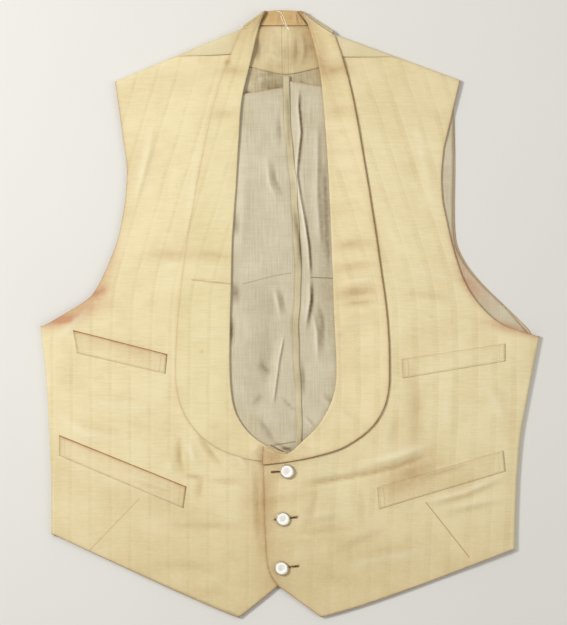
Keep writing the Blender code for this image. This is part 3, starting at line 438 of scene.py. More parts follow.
COLLAR_FOLDS = [
    Fold([(-102, 36), (-59, 30)], 1.6, -0.7, 0.5), Fold([(-96, 62), (-58, 58)], 3, -0.7, 0.4),
    Fold([(-92, 51), (-60, 45)], 3.5, 0.5), Fold([(-82, 200), (-50, 200)], 3.5, -0.5, 0.3),
    Fold([(-70, 244), (-42, 241)], 4, -0.5, 0.3), Fold([(-88, 150), (-54, 156)], 5, 0.4, 0.1),
    Fold([(-104, -20), (-62, -16)], 6, 0.5, 0.1), Fold([(34, 241), (60, 246)], 2.6, -0.6, 0.5),
    Fold([(38, 203), (66, 207)], 3, -0.6, 0.3), Fold([(38, 180), (68, 184)], 3, -0.5, 0.25),
    Fold([(40, 165), (70, 169)], 3, 0.5, 0.15), Fold([(42, 140), (74, 144)], 3, -0.5, 0.25),
    Fold([(43, 109), (78, 113)], 3, -0.6, 0.3), Fold([(45, 69), (84, 73)], 3, -0.7, 0.35),
    Fold([(45, 48), (86, 51)], 3, -0.7, 0.4), Fold([(46, 34), (88, 37)], 3.4, 0.9, 0.3),
    Fold([(48, 21), (90, 25)], 3, -1.0, 0.8), Fold([(48, 10), (90, 13)], 3, -0.9, 0.8),
    Fold([(49, -8), (92, -2)], 3.5, 0.6, 0.25), Fold([(50, -50), (92, -56)], 5, -0.5, 0.15),
    Fold([(44, -92), (70, -112)], 4, 0.5, 0.15), Fold([(-60, -104), (-84, -120)], 4, -0.5, 0.15),
    Fold([(8, -128), (24, -138)], 2.5, -0.5, 0.3), Fold([(-30, -128), (-38, -142)], 3, 0.5, 0.2),
]
LINING_FOLDS = [
    Fold([(9, 226), (8, 207), (10.5, 181), (7.5, 154), (6.5, 139), (10, 116), (15, 88), (18, 68),
          (19.5, 46), (20, 34)], 2.1, 2.6, 1.5), Fold([(20, 40), (20, 14), (15, -18)], 2.6, 2.7, 1.8),
    Fold([(8, 170), (16, 96), (17, 60)], 5, 1.08), Fold([(-12, 204), (-8, 164)], 3, -1.0, 0.75),
    Fold([(-18, 156), (-15, 134), (-5, 114)], 2.4, -1.4, 0.9),
    Fold([(-24, 160), (-20, 130), (-10, 108)], 3, 1.35),
    Fold([(4, 110), (10, 70), (12, 40)], 2.4, -1.2, 1.2), Fold([(-11, 28), (-3, -4)], 2.2, -1.4, 0.8),
    Fold([(-16, 30), (-8, -8)], 2.6, 1.49, 0.15),
    Fold([(-6, -20), (-11, -46), (-17, -92)], 1.5, 2.29, 0.68),
    Fold([(-16, -14), (-22, -50), (-26, -86)], 5, -1.2, 0.3), Fold([(-10, -82), (7, -98)], 1.6, -1.0, 0.75),
    Fold([(27, 16), (33, -6), (33, -44)], 2.6, -1.6, 0.9),
    Fold([(22, 6), (27, -18), (28, -52)], 2.8, 1.76, 0.3), Fold([(12, -42), (15, -84)], 2.6, -1.0, 0.9),
    Fold([(-31, -46), (-19, -62)], 4, -1.0, 0.68), Fold([(-39, -92), (-25, -78)], 4, -0.9, 0.6),
    Fold([(13, -102), (25, -114)], 2.0, 1.35, 0.6), Fold([(-52, 104), (-53, 74)], 3, -1.0, 1.05),
    Fold([(-54, 34), (-52, 8)], 3.4, -1.6, 1.1), Fold([(-58, 0), (-58, -34)], 3, -1.0, 1.2),
    Fold([(-44, 190), (-46, 120), (-50, 40)], 9, 0.94),
    Fold([(28, 196), (27, 120), (31, 60)], 3, 1.08, 0.45),
    Fold([(35, 150), (37, 90), (40, 40)], 2.4, -0.7, 0.6),
    Fold([(-2, 224), (-1, 196), (0, 160)], 1.8, -0.9, 0.75),
    Fold([(-34, -100), (-12, -132)], 3, -0.8, 0.75), Fold([(-20, -128), (6, -140)], 1.8, 1.35, 1.35),
    Fold([(-14, -134), (10, -136)], 1.5, 1.22, 1.35), Fold([(30, -80), (44, -94)], 4, 1.08, 0.45),
    Fold([(34, 200), (37, 80), (38, -50)], 8, -0.2, 0.5),
    Fold([(-8, 60), (-30, -40), (-26, -100)], 12, -0.1, 0.3),
]
NECK_FOLDS = [
    Fold([(-34, 278), (-30, 268), (-34, 250)], 3.5, -0.9, 0.9), Fold([(-28, 276), (-26, 256)], 3, 0.5),
    Fold([(5, 286), (6, 262), (4, 240)], 2.4, -0.5, 0.7),
    Fold([(12, 284), (14, 262), (10, 244)], 2.6, 0.7, 0.5), Fold([(-34, 234), (-26, 238)], 5, 1.2),
    Fold([(-46, 222), (-38, 219)], 3.5, -1.2, 1.2),
    Fold([(-26, 228), (-20, 222), (-18, 214)], 2.0, 0.7, 0.6),
    Fold([(-16, 236), (-12, 226), (-11, 216)], 1.8, -0.7, 0.6),
    Fold([(8, 236), (10, 230), (18, 227)], 1.6, 0.7, 0.9), Fold([(20, 240), (24, 230)], 2.4, -0.5, 0.5),
    Fold([(-24, 262), (-12, 256), (-4, 262)], 3.5, 0.4, 0.3), Fold([(18, 274), (24, 262)], 3, -0.4, 0.4),
]
print("folds:", len(FRONT_FOLDS) + len(COLLAR_FOLDS) + len(LINING_FOLDS) + len(NECK_FOLDS))

# %% [markdown]
# ## Marks of age
# Sweat, handling and storage leave stains, each a soft oval with its own slant. `brown` is old handling dirt
# and starch, and `pink` is the rosy tint at the armholes. `shade` is broad darkening, mostly towards the hem:
# partly yellowing, partly painted shade where the light falls off.

# %% Stains
Stain = namedtuple("Stain", "kind x y across along tilt strength")
STAINS = [
    Stain("pink", -218, -2, 36, 7, 20, 1.0), Stain("pink", -196, 17, 20, 7, 42, 0.8),
    Stain("pink", -181, 48, 7, 26, -22, 0.5), Stain("pink", 169, 56, 5, 28, 20, 0.6),
    Stain("pink", 184, 24, 24, 7, -46, 0.8), Stain("pink", 222, -15, 30, 5, -14, 0.9),
    Stain("brown", 128, -158, 26, 13, 16, 0.8), Stain("brown", 126, -116, 9, 34, 0, 0.45),
    Stain("brown", 160, -172, 40, 9, 17, 0.4), Stain("brown", -160, -34, 34, 9, -14, 0.5),
    Stain("brown", 118, -161, 24, 13, 15, 0.8), Stain("brown", 104, -176, 12, 8, 0, 0.4),
    Stain("brown", -29, -205, 5, 62, 0, 1.1), Stain("brown", -14, -205, 13, 60, 0, 0.5),
    Stain("brown", -22, -186, 5, 34, -2, 1.0), Stain("brown", -14, -262, 8, 24, -20, 1.0),
    Stain("brown", -20, -142, 12, 9, 0, 1.0), Stain("brown", -44, -192, 8, 30, 0, 0.5),
    Stain("pink", -190, 22, 9, 4, 30, 0.9), Stain("pink", -226, -6, 12, 4, 10, 0.8),
    Stain("brown", -8, -184, 30, 5, 10, 0.5), Stain("brown", 20, -226, 50, 5, 6, 0.35),
    Stain("brown", -79, 58, 28, 7, -5, 0.5), Stain("brown", -118, 57, 36, 6, 0, 0.35),
    Stain("brown", 65, 22, 24, 7, 12, 1.0), Stain("brown", 62, 46, 24, 5, 8, 0.7),
    Stain("brown", 58, 68, 22, 5, 4, 0.7), Stain("brown", 56, 102, 20, 4, 5, 0.4),
    Stain("brown", 52, 162, 18, 4, 5, 0.4), Stain("brown", 48, 200, 18, 6, 5, 0.5),
    Stain("brown", 46, 243, 18, 8, 6, 0.8), Stain("brown", -55, 242, 16, 5, 0, 0.7),
    Stain("brown", -70, 199, 22, 7, 0, 0.45), Stain("brown", -62, 251, 3, 3, 0, 1.6),
    Stain("brown", -40, 285, 14, 30, -24, 0.8), Stain("brown", 24, 268, 12, 46, 22, 1.2),
    Stain("brown", 0, -143, 34, 8, 0, 0.6), Stain("brown", -10, 296, 26, 9, 0, 1.1),
    Stain("brown", -113, 127, 1.2, 1.2, 0, 1.2), Stain("brown", -88, -38, 1.6, 1.2, 0, 1.4),
    Stain("brown", 140, -2, 2.2, 1, 0, 1.3), Stain("brown", 50, -20, 2, 2, 0, 0.8),
    Stain("brown", -180, -180, 50, 16, -22, 0.3), Stain("brown", -120, -192, 40, 10, -20, 0.35),
    # The shade stains: broad darkening, mostly towards the hem, partly yellowing and partly painted shade.
    Stain("shade", -100, -250, 190, 70, -14, 0.9), Stain("shade", 90, -256, 180, 66, 12, 1.0),
    Stain("shade", 150, -140, 90, 40, 0, 0.35), Stain("shade", -60, -120, 30, 24, 0, 0.4),
    Stain("shade", 100, 235, 90, 22, -18, 0.5), Stain("shade", -110, 235, 80, 18, 20, 0.4),
    Stain("shade", -165, 0, 60, 30, 0, 0.2), Stain("brown", 131, 200, 30, 10, -10, 0.25),
]
KINDS = ("brown", "pink", "shade")


def stains(x, y):
    """Strength of each kind of stain at each place, one column a kind."""
    found = np.zeros((len(x), len(KINDS)))
    for s in STAINS:
        turn = math.radians(s.tilt)
        dx, dy = x - s.x, y - s.y
        p = (dx * math.cos(turn) + dy * math.sin(turn)) / s.across
        q = (dy * math.cos(turn) - dx * math.sin(turn)) / s.along
        found[:, KINDS.index(s.kind)] += s.strength * np.exp(-(p * p) - q * q)
    return found


print("stains:", len(STAINS))

# %% [markdown]
# ## One sheet of cloth
# Every pattern piece goes through the same steps. Its places are a grid, rows down the garment and columns
# across it. The faces between them make the outer side of the cloth, and Solidify gives it its thickness
# inwards. Coarse sheets get one level of Subdivision. Four facts are kept on each vertex for the finish:
# where it was on the flat cloth (`grain`), how far it is from the sheet's edges (`rims`), how stained it
# is (`marks`), and how much painted shade and painted highlight its folds give it (the last attribute).

# %% Grid to cloth
Cloth = namedtuple("Cloth", "places grain")
RIM_STEP = 0.6  # mm between the places at which a sheet's edge is measured
FAR_FROM_RIM = 99.0  # mm, for a sheet that has no edge of that kind
cut_sizes = {}


def rim_distances(bm, row_of, rows, places):
    """Distances in millimetres to the sheet's first row, its last row and the rest of its edge."""
    marks = [[], [], []]
    for e in bm.edges:
        if len(e.link_faces) == 1:
            ends = {row_of[v] for v in e.verts}
            kind = 0 if ends == {0} else 1 if ends == {rows - 1} else 2
            steps = max(1, round(e.calc_length() / MM / RIM_STEP))
            marks[kind] += [e.verts[0].co.lerp(e.verts[1].co, k / steps) for k in range(steps)]
    found = np.full((len(places), 3), FAR_FROM_RIM)
    for kind, spots in enumerate(marks):
        if spots:
            tree = KDTree(len(spots))
            for k, spot in enumerate(spots):
                tree.insert(spot, k)
            tree.balance()
            found[:, kind] = [tree.find(Vector(place) * MM)[2] / MM for place in places]
    return found


def set_attribute(mesh, name, values):
    attribute = mesh.attributes.new(name, "FLOAT_VECTOR", "POINT")
    attribute.data.foreach_set("vector", values.astype(np.float32).ravel())


def measure_cut(name, cloth):
    """Width, length and area of the flat cut, measured along the sheet."""
    p = cloth.places
    across = np.nansum(np.linalg.norm(np.diff(p, axis=1), axis=2), axis=1).max()
    down = np.nansum(np.linalg.norm(np.diff(p, axis=0), axis=2), axis=0).max()
    one, two = p[1:, 1:] - p[:-1, :-1], p[1:, :-1] - p[:-1, 1:]
    area = np.nansum(np.linalg.norm(np.cross(one, two), axis=2)) / 2
    cut_sizes[name] = (across * MM, down * MM, area * MM * MM)


def sheet_of(name, cloth, thickness, finish, folds=(), faces_up=True, levels=0):
    """A thin shell of cloth. The places are its outer face, and those that are NaN are left out."""
    mesh = bpy.data.meshes.new(name)
    bm = bmesh.new()
    rows, columns = cloth.places.shape[:2]
    known = np.isfinite(cloth.places[..., 2])
    verts = np.full((rows, columns), None, object)
    row_of = {}
    for r, c in zip(*np.nonzero(known)):
        verts[r, c] = bm.verts.new(Vector(cloth.places[r, c]) * MM)
        row_of[verts[r, c]] = r
    for r in range(rows - 1):
        for c in range(columns - 1):
            corners = (verts[r, c], verts[r + 1, c], verts[r + 1, c + 1], verts[r, c + 1])
            if None not in corners:
                bm.faces.new(corners)
    bm.normal_update()
    if (sum(f.normal.z * f.calc_area() for f in bm.faces) > 0) != faces_up:
        bmesh.ops.reverse_faces(bm, faces=bm.faces)
    places = cloth.places[known]
    rims = rim_distances(bm, row_of, rows, places)
    bm.to_mesh(mesh)
    bm.free()
    grain = cloth.grain[known]
    set_attribute(mesh, "grain", np.column_stack([grain, np.zeros(len(grain))]))
    set_attribute(mesh, "rims", rims)
    set_attribute(mesh, "marks", stains(places[:, 0], places[:, 1]))
    held, highlight = dust(folds, places[:, 0], places[:, 1]), painted_highlight(folds, places[:, 0], places[:, 1])
    set_attribute(mesh, "held", np.column_stack([held, highlight, np.zeros(len(places))]))
    mesh.shade_smooth()
    mesh.materials.append(finish)
    piece = bpy.data.objects.new(name, mesh)
    bpy.context.scene.collection.objects.link(piece)
    thicken = piece.modifiers.new("Thickness", "SOLIDIFY")
    thicken.thickness = thickness * MM
    thicken.offset = -1
    if levels:
        rounded = piece.modifiers.new("Rounding", "SUBSURF")
        rounded.levels = rounded.render_levels = levels
    measure_cut(name, cloth)
    width, length, area = cut_sizes[name]
    print(f"{name}: {rows} x {columns} grid, cut {width:.3f} x {length:.3f} m, {area:.4f} m2")
    return piece


# %% [markdown]
# ## Materials
# One helper adds any node, so a material reads like a recipe. Colours are given as the sRGB values that one
# would pick on a screen, and turned to linear light here.

# %% Colour and node helpers


def linear(hexed):
    """An sRGB colour such as "#E8DAB0" as linear red, green, blue and alpha."""
    parts = [int(hexed[k:k + 2], 16) / 255 for k in (1, 3, 5)]
    return (*[c / 12.92 if c <= 0.04045 else ((c + 0.055) / 1.055) ** 2.4 for c in parts], 1.0)


def add(tree, kind, *values, output=0, settings=None, **inputs):
    """Adds a node with its settings and links, and returns one of its outputs, or all for None.

    A word after a colon is the node's operation. Unnamed values go to the first inputs in
    order. The rest are named, or numbered as in_6 where several inputs share a name.
    """
    kind, _, operation = kind.partition(":")
    node = tree.nodes.new("ShaderNode" + kind)
    if operation:
        node.operation = operation
    for key, value in (settings or {}).items():
        setattr(node, key, value)
    inputs.update({f"in_{k}": value for k, value in enumerate(values)})
    for key, value in inputs.items():
        socket = node.inputs[int(key[3:]) if key.startswith("in_") else key.replace("_", " ")]
        if isinstance(value, bpy.types.NodeSocket):
            tree.links.new(value, socket)
        else:
            socket.default_value = value
    return node.outputs if output is None else node.outputs[output]


def tinted(tree, amount, under, over):
    """One colour laid over another by an amount from 0 to 1."""
    colours = {"data_type": "RGBA", "clamp_factor": True}
    return add(tree, "Mix", amount, output=2, settings=colours, in_6=under, in_7=over)


def new_material(name, roughness, **constants):
    made = bpy.data.materials.new(name)
    made.use_nodes = True
    shader = made.node_tree.nodes["Principled BSDF"]
    shader.inputs["Roughness"].default_value = roughness
    for key, value in constants.items():
        shader.inputs[key.replace("_", " ")].default_value = value
    return made, made.node_tree, shader


print("cream in linear light:", [round(part, 3) for part in linear("#E5D7AC")[:3]])


# %% [markdown]
# ### Striped cotton twill
# The fronts are a white cotton vesting, gone cream with age: a ribbed stripe about 8 mm wide every 19.5 mm,
# with fine diagonal ribs 2.8 mm apart that change direction from one stripe to the next, and a thin darker
# line where the direction turns. The stripes follow the thread, so the pattern is drawn on the flat cloth's
# own millimetres (`grain`) and turns with each piece. Twill is matt with a faint sheen from its floats.

# %% Twill
STRIPE_PITCH = 19.5  # mm, counted on the photograph
RIB_PITCH = 2.8  # mm between diagonal ribs
THREAD_PITCH = 1.1  # mm: real threads are about 0.5 mm, drawn coarser so that they show
Seam = namedtuple("Seam", "x0 y0 x1 y1 width strength")
SEAMS = [  # the dart of each front, and the crease across the right collar
    Seam(-150.4, -184.4, -200.3, -236.2, 0.55, 0.35), Seam(135.4, -187.6, 178.5, -242.2, 0.55, 0.7),
    Seam(-98, 34, -59, 30, 0.6, 0.45),
]


def dark_line_mask(tree, dark_lines):
    """1 on the lines and 0 away from them: distance to a few straight lines on the garment. They are seams,
    darts and a crease, and thin lines of painted shadow and shade.
    """
    place = add(tree, "NewGeometry", output="Position")
    flat = add(tree, "VectorMath:MULTIPLY", place, (1000, 1000, 0))
    total = 0.0
    for s in dark_lines:
        run = Vector((s.x1 - s.x0, s.y1 - s.y0, 0))
        away = add(tree, "VectorMath:SUBTRACT", flat, (s.x0, s.y0, 0))
        share = add(tree, "VectorMath:DOT_PRODUCT", away, run / run.length_squared, output="Value")
        foot = add(tree, "VectorMath:SCALE", tuple(run), Scale=add(tree, "Clamp", share))
        apart = add(tree, "VectorMath:DISTANCE", away, foot, output="Value")
        line = add(tree, "Math:MULTIPLY", add(tree, "Math:COMPARE", apart, 0.0, s.width), s.strength)
        total = add(tree, "Math:MAXIMUM", line, total)
    return total


def known_at(tree, name):
    """The three numbers of a vertex attribute."""
    vector = add(tree, "Attribute", output="Vector", settings={"attribute_name": name})
    return add(tree, "SeparateXYZ", vector, output=None)


def blotches(tree, vector, scale, detail=3.0):
    """Cloudy noise between 0 and 1, used to break up stains and edges."""
    return add(tree, "TexNoise", output="Fac", Vector=vector, Scale=scale, Detail=detail, Roughness=0.6)


def band(tree, value, middle, half, soft):
    """1 where a value is within a half width of the middle, with soft edges."""
    away = add(tree, "Math:ABSOLUTE", add(tree, "Math:SUBTRACT", value, middle))
    return add(tree, "MapRange", away, half - soft, half + soft, 1.0, 0.0,
               settings={"interpolation_type": "SMOOTHSTEP"})


def stains_and_painted_light(tree, colour, grain, rims, fold_shade_colour, brown="#B08B58", pink="#C2906B", shade="#C9B482", rim="#A06A38"):
    """Lays stains, painted shade and painted highlights from the folds, and browned edges over a colour.

    rims says how brown the first row, the last row and the other edges are. Where an edge stands over a
    gap, a strong value makes this brown partly painted shadow.
    """
    cloud = blotches(tree, grain, 0.05)
    fine = blotches(tree, grain, 0.22)
    breakup = add(tree, "Math:MULTIPLY_ADD", fine, 0.7, add(tree, "Math:MULTIPLY", cloud, 0.9))
    # Stains. The broad shade kind is partly painted shade.
    for socket, tint, strength in zip(known_at(tree, "marks"), (brown, pink, shade), (0.52, 0.8, 0.5)):
        amount = add(tree, "Math:MULTIPLY", add(tree, "Math:MULTIPLY", socket, breakup), strength)
        colour = tinted(tree, amount, colour, linear(tint))
    held = known_at(tree, "held")
    # Painted shade: the folds' shaded sides and troughs are darkened towards this colour.
    fold_shaded = add(tree, "Math:MULTIPLY", held[0], add(tree, "Math:MULTIPLY_ADD", fine, 0.7, 0.2))
    colour = tinted(tree, fold_shaded, colour, linear(fold_shade_colour))
    # Painted highlight: the lit side of each ridge is made paler.
    colour = tinted(tree, add(tree, "Math:MULTIPLY", held[1], 0.5), colour, linear("#F6EFD8"))
    # Browned edges with a dark line at the very edge. Where a strong value is given for an edge over a gap,
    # it is partly painted shadow.
    edge_brown_and_shadow = 0.0
    for distance, strength in zip(known_at(tree, "rims"), rims):
        near = add(tree, "Math:EXPONENT", add(tree, "Math:MULTIPLY", distance, -1.1))
        wide = add(tree, "Math:EXPONENT", add(tree, "Math:MULTIPLY", distance, -0.13))
        line = add(tree, "Math:MULTIPLY", near, strength)
        edge_brown_and_shadow = add(tree, "Math:ADD", edge_brown_and_shadow, add(tree, "Math:MULTIPLY_ADD", wide, 0.12 * strength, line))
    return tinted(tree, add(tree, "Math:MULTIPLY", edge_brown_and_shadow, breakup), colour, linear(rim))


def twill(name, shift, half_band, flip, rims, light="#E5D7AC", dark="#D3C190", dark_lines=()):
    """Ribbed stripes on smooth cloth. The half width is a share of the pitch, and flip turns the ribs."""
    made, tree, shader = new_material(name, 0.82, Sheen_Weight=0.12, Sheen_Roughness=0.5, IOR=1.5)
    grain = add(tree, "Attribute", output="Vector", settings={"attribute_name": "grain"})
    across, along, _ = known_at(tree, "grain")
    wander = add(tree, "Math:MULTIPLY_ADD", blotches(tree, grain, 0.012, 1.0), 4.0, shift - 2.0)
    across = add(tree, "Math:ADD", across, wander)
    stripe = add(tree, "Math:FRACT", add(tree, "Math:DIVIDE", across, STRIPE_PITCH))
    ribbed = band(tree, stripe, 0.5, half_band, 0.03)
    beside = band(tree, stripe, 0.5 + half_band + 0.07, 0.05, 0.04)
    middle = add(tree, "Math:ABSOLUTE", add(tree, "Math:SUBTRACT", stripe, 0.52))
    slant = add(tree, "Math:MULTIPLY", middle, 0.62 * flip * STRIPE_PITCH)
    phase = add(tree, "Math:MULTIPLY", add(tree, "Math:ADD", slant, along), 2 * math.pi / RIB_PITCH)
    rib = add(tree, "Math:MULTIPLY_ADD", add(tree, "Math:SINE", phase), 0.5, 0.5)
    rib = add(tree, "Math:MULTIPLY", rib, add(tree, "Math:MULTIPLY_ADD", ribbed, 0.8, 0.2))
    thread = blotches(tree, grain, 1 / THREAD_PITCH, 2.0)
    cloud = blotches(tree, grain, 0.022, 4.0)
    faded = add(tree, "MapRange", blotches(tree, grain, 0.035), 0.38, 0.66)
    tone = add(tree, "Math:MULTIPLY", add(tree, "Math:MULTIPLY_ADD", ribbed, 0.15, add(
        tree, "Math:MULTIPLY", rib, 0.38)), add(tree, "Math:MULTIPLY_ADD", faded, 0.85, 0.15))
    tone = add(tree, "Math:MULTIPLY_ADD", beside, -0.10, tone)
    streaks = add(tree, "VectorMath:MULTIPLY", grain, (0.12, 1.0, 1.0))
    streak = blotches(tree, streaks, 0.5)
    tone = add(tree, "Math:ADD", tone, add(tree, "Math:MULTIPLY_ADD", streak, 1.1, -0.5))
    tone = add(tree, "Math:ADD", tone, add(tree, "Math:MULTIPLY_ADD", thread, 1.0, -0.35))
    tone = add(tree, "Math:ADD", tone, add(tree, "Math:MULTIPLY_ADD", cloud, 1.9, -0.9))
    colour = tinted(tree, tone, linear(light), linear(dark))
    # The last colour is that of the painted shade along the folds.
    colour = stains_and_painted_light(tree, colour, grain, rims, "#A8854F")
    height = add(tree, "Math:MULTIPLY_ADD", rib, 0.7, add(tree, "Math:MULTIPLY", thread, 0.5))
    if dark_lines:
        # Seams, darts and the crease are drawn darker. On the left front this also paints a thin shadow line
        # under the collar's free edge.
        line = dark_line_mask(tree, dark_lines)
        colour = tinted(tree, line, colour, linear("#A98A58"))
        height = add(tree, "Math:SUBTRACT", height, add(tree, "Math:MULTIPLY", line, 2.0))
    tree.links.new(colour, shader.inputs["Base Color"])
    bump = add(tree, "Bump", Strength=0.5, Distance=0.00035, Height=height)
    tree.links.new(bump, shader.inputs["Normal"])
    return made


# A thin brown painted shadow line on the left front, all along the left collar's lifted free edge.
edge_marks = even([(c.edge_x, c.edge_y) for c in COLLARS["left"][6:]], 24)
COLLAR_EDGE_SHADOW = [Seam(*a, *b, 1.2, 0.65) for a, b in zip(edge_marks, edge_marks[1:])]
LEFT, RIGHT = (0.3, 0.16, 1.0), (-5.3, 0.09, -1.0)  # shift in mm, half width of the band, slant of the ribs
FINISHES = {
    "front_left": twill("striped_twill_left", *LEFT, (0.25, 0.7, 0.8), dark_lines=SEAMS + COLLAR_EDGE_SHADOW),
    "front_right": twill("striped_twill_right", *RIGHT, (0.2, 0.7, 0.7), dark_lines=SEAMS),
    # The left collar's free edge is browned strongly: partly dirt, partly painted shadow of its lifted edge.
    "collar_left": twill("striped_twill_collar_left", *LEFT, (0.3, 0.8, 0.8), "#E7D8AC", "#D6C593"),
    "collar_right": twill("striped_twill_collar_right", *RIGHT, (0.3, 0.5, 0.35), "#E4D6A9", "#D2C290",
                          dark_lines=SEAMS),
    "welt_left": twill("striped_twill_welt_left", *LEFT, (0.35, 0.05, 0.5)),
    # The right welts' open mouths get a strong brown line: partly dirt, partly painted shadow of the mouth.
    "welt_right": twill("striped_twill_welt_right", *RIGHT, (1.8, 0.15, 0.8)),
    "stand": twill("striped_twill_stand", *LEFT, (0.15, 0.1, 0.2), "#DDC087", "#BF9C60"),
}
print("twills:", len(FINISHES))

# %% [markdown]
# ### Plain cotton and lining
# The back, the facing and the tape are plain woven cotton, and the lining is a thin grey one. Plain weave is
# a grid of over and under threads: two waves, one along each thread, make the little squares. Slubs, the
# thick places in the thread, are noise stretched a long way along it. The cloth is matt, with little sheen.

# %% Plain weaves


def plain_weave(name, light, dark, thread, rims, slubs=0.5, clouds=0.6, shown=0.05, dark_lines=()):
    made, tree, shader = new_material(name, 0.88, Sheen_Weight=0.08, Sheen_Roughness=0.5, IOR=1.5)
    grain = add(tree, "Attribute", output="Vector", settings={"attribute_name": "grain"})
    across, along, _ = known_at(tree, "grain")
    waves = []
    for axis in (across, along):
        turns = add(tree, "Math:MULTIPLY", axis, 2 * math.pi / thread)
        waves.append(add(tree, "Math:MULTIPLY_ADD", add(tree, "Math:SINE", turns), 0.5, 0.5))
    weave = add(tree, "Math:MULTIPLY", *waves)
    down = add(tree, "VectorMath:MULTIPLY", grain, (1.0, 0.04, 1.0))
    over = add(tree, "VectorMath:MULTIPLY", grain, (0.05, 1.0, 1.0))
    slub = add(tree, "Math:MULTIPLY_ADD", blotches(tree, down, 0.8, 2.0), slubs, add(
        tree, "Math:MULTIPLY", blotches(tree, over, 0.7, 2.0), 0.5 * slubs))
    cloud = blotches(tree, grain, 0.03, 4.0)
    tone = add(tree, "Math:MULTIPLY_ADD", weave, shown, add(tree, "Math:SUBTRACT", slub, 0.6 * slubs))
    tone = add(tree, "Math:ADD", tone, add(tree, "Math:MULTIPLY_ADD", cloud, clouds, 0.35 - 0.5 * clouds))
    colour = tinted(tree, tone, linear(light), linear(dark))
    # The last colour is that of the painted shade along the folds.
    colour = stains_and_painted_light(tree, colour, grain, rims, "#6E5636")
    if dark_lines:
        # On the lining these lines include two slivers of painted shade at the bottom of the neckline.
        colour = tinted(tree, dark_line_mask(tree, dark_lines), colour, linear("#8A744C"))
    height = add(tree, "Math:ADD", weave, slub)
    bump = add(tree, "Bump", Strength=0.45, Distance=0.00025, Height=height)
    tree.links.new(colour, shader.inputs["Base Color"])
    tree.links.new(bump, shader.inputs["Normal"])
    return made


FINISHES["back"] = plain_weave("plain_cotton_back", "#E3D6B0", "#CBBA8C", 1.2, (0.2, 0.2, 0.5), clouds=1.2)
CENTRE_SEAM = [Seam(-8.6, 287, -7.6, 239, 0.5, 0.3), Seam(-2.2, 287, -1.6, 240, 0.5, 0.2)]
FINISHES["facing"] = plain_weave("plain_cotton_facing", "#DCCCA2", "#AE986A", 1.2, (0.2, 0.3, 0.3),
                                 clouds=2.0, dark_lines=CENTRE_SEAM)
FINISHES["tape"] = plain_weave("cotton_tape", "#D8CBA6", "#AFA07A", 1.0, (0.2, 0.2, 0.0), clouds=1.6)
LINING_LINES = [  # the cross seam in three runs, and two slivers of painted shade in the small wrinkles at the bottom of the neckline
    Seam(-47, 30, -17, 38, 0.45, 0.5), Seam(-17, 38, 1, 41, 0.45, 0.5), Seam(21, 36.6, 44, 35.6, 0.5, 0.9),
    Seam(-19, -131, -6, -138, 0.7, 1.0), Seam(-16, -131, 8, -127, 0.5, 0.8),
]
FINISHES["lining"] = plain_weave("grey_cotton_lining", "#D8CFB6", "#B4A888", 1.4, (0.5, 0.3, 0.3), 0.9, 1.1,
                                 dark_lines=LINING_LINES)
FINISHES["band"] = plain_weave("grey_cotton_band", "#D2C5A4", "#95845E", 1.4, (0.2, 0.3, 0.3), 0.9, 2.4)
print("plain weaves made")

# %% [markdown]
# ### Mother of pearl, metal and sewing thread
# Pearl is layers of thin crystal, so it is bright, glossy and slightly rainbow coloured; a coat gives the
# polish and a slow noise gives the cloudy colours. The settings are a yellow-grey base metal, worn and a
# little dull. Buttonhole thread is twisted cotton, which shows as slanting ridges.

# %% Button and thread finishes


def pearl_finish():
    made, tree, shader = new_material("mother_of_pearl", 0.22, IOR=1.53, Coat_Weight=0.4, Coat_Roughness=0.08)
    place = add(tree, "TexCoord", output="Object")
    cloud = add(tree, "TexNoise", output="Fac", Vector=place, Scale=420.0, Detail=2.0, Distortion=1.5)
    chance = add(tree, "ObjectInfo", output="Random")
    lustre = tinted(tree, chance, linear("#A5BDA2"), linear("#E3AA98"))
    x, y, _ = add(tree, "SeparateXYZ", place, output=None)
    reach = add(tree, "VectorMath:LENGTH", add(tree, "CombineXYZ", x, y), output="Value")
    centre = add(tree, "MapRange", reach, 0.0022, 0.0036, 0.9, 0.2,
                 settings={"interpolation_type": "SMOOTHSTEP"})
    colour = tinted(tree, add(tree, "Math:MULTIPLY", centre, cloud), linear("#FFFEF8"), lustre)
    tree.links.new(colour, shader.inputs["Base Color"])
    return made


def worn_metal():
    made, tree, shader = new_material("gilt_base_metal", 0.34, Metallic=1.0)
    place = add(tree, "TexCoord", output="Object")
    wear = add(tree, "TexNoise", output="Fac", Vector=place, Scale=700.0, Detail=4.0)
    colour = tinted(tree, wear, linear("#EFE6CF"), linear("#A8905E"))
    rough = add(tree, "Math:MULTIPLY_ADD", wear, 0.3, 0.3)
    tree.links.new(colour, shader.inputs["Base Color"])
    tree.links.new(rough, shader.inputs["Roughness"])
    return made


def thread_finish(name, light, dark):
    made, tree, shader = new_material(name, 0.7, Sheen_Weight=0.2, IOR=1.5)
    place = add(tree, "TexCoord", output="Object")
    ply = add(tree, "TexWave", output="Fac", settings={"bands_direction": "DIAGONAL"}, Vector=place,
              Scale=500.0, Distortion=2.0)
    colour = tinted(tree, ply, linear(light), linear(dark))
    bump = add(tree, "Bump", Strength=0.4, Distance=0.0001, Height=ply)
    tree.links.new(colour, shader.inputs["Base Color"])
    tree.links.new(bump, shader.inputs["Normal"])
    return made


FINISHES["pearl"] = pearl_finish()
FINISHES["metal"] = worn_metal()
FINISHES["hole_thread"] = thread_finish("buttonhole_thread", "#B98A52", "#754A28")
FINISHES["white_thread"] = thread_finish("tacking_thread", "#FFFCF0", "#EFE6D0")
FINISHES["cream_thread"] = thread_finish("cream_sewing_thread", "#E6D6A8", "#C6AF7C")
print("finishes:", sorted(FINISHES))

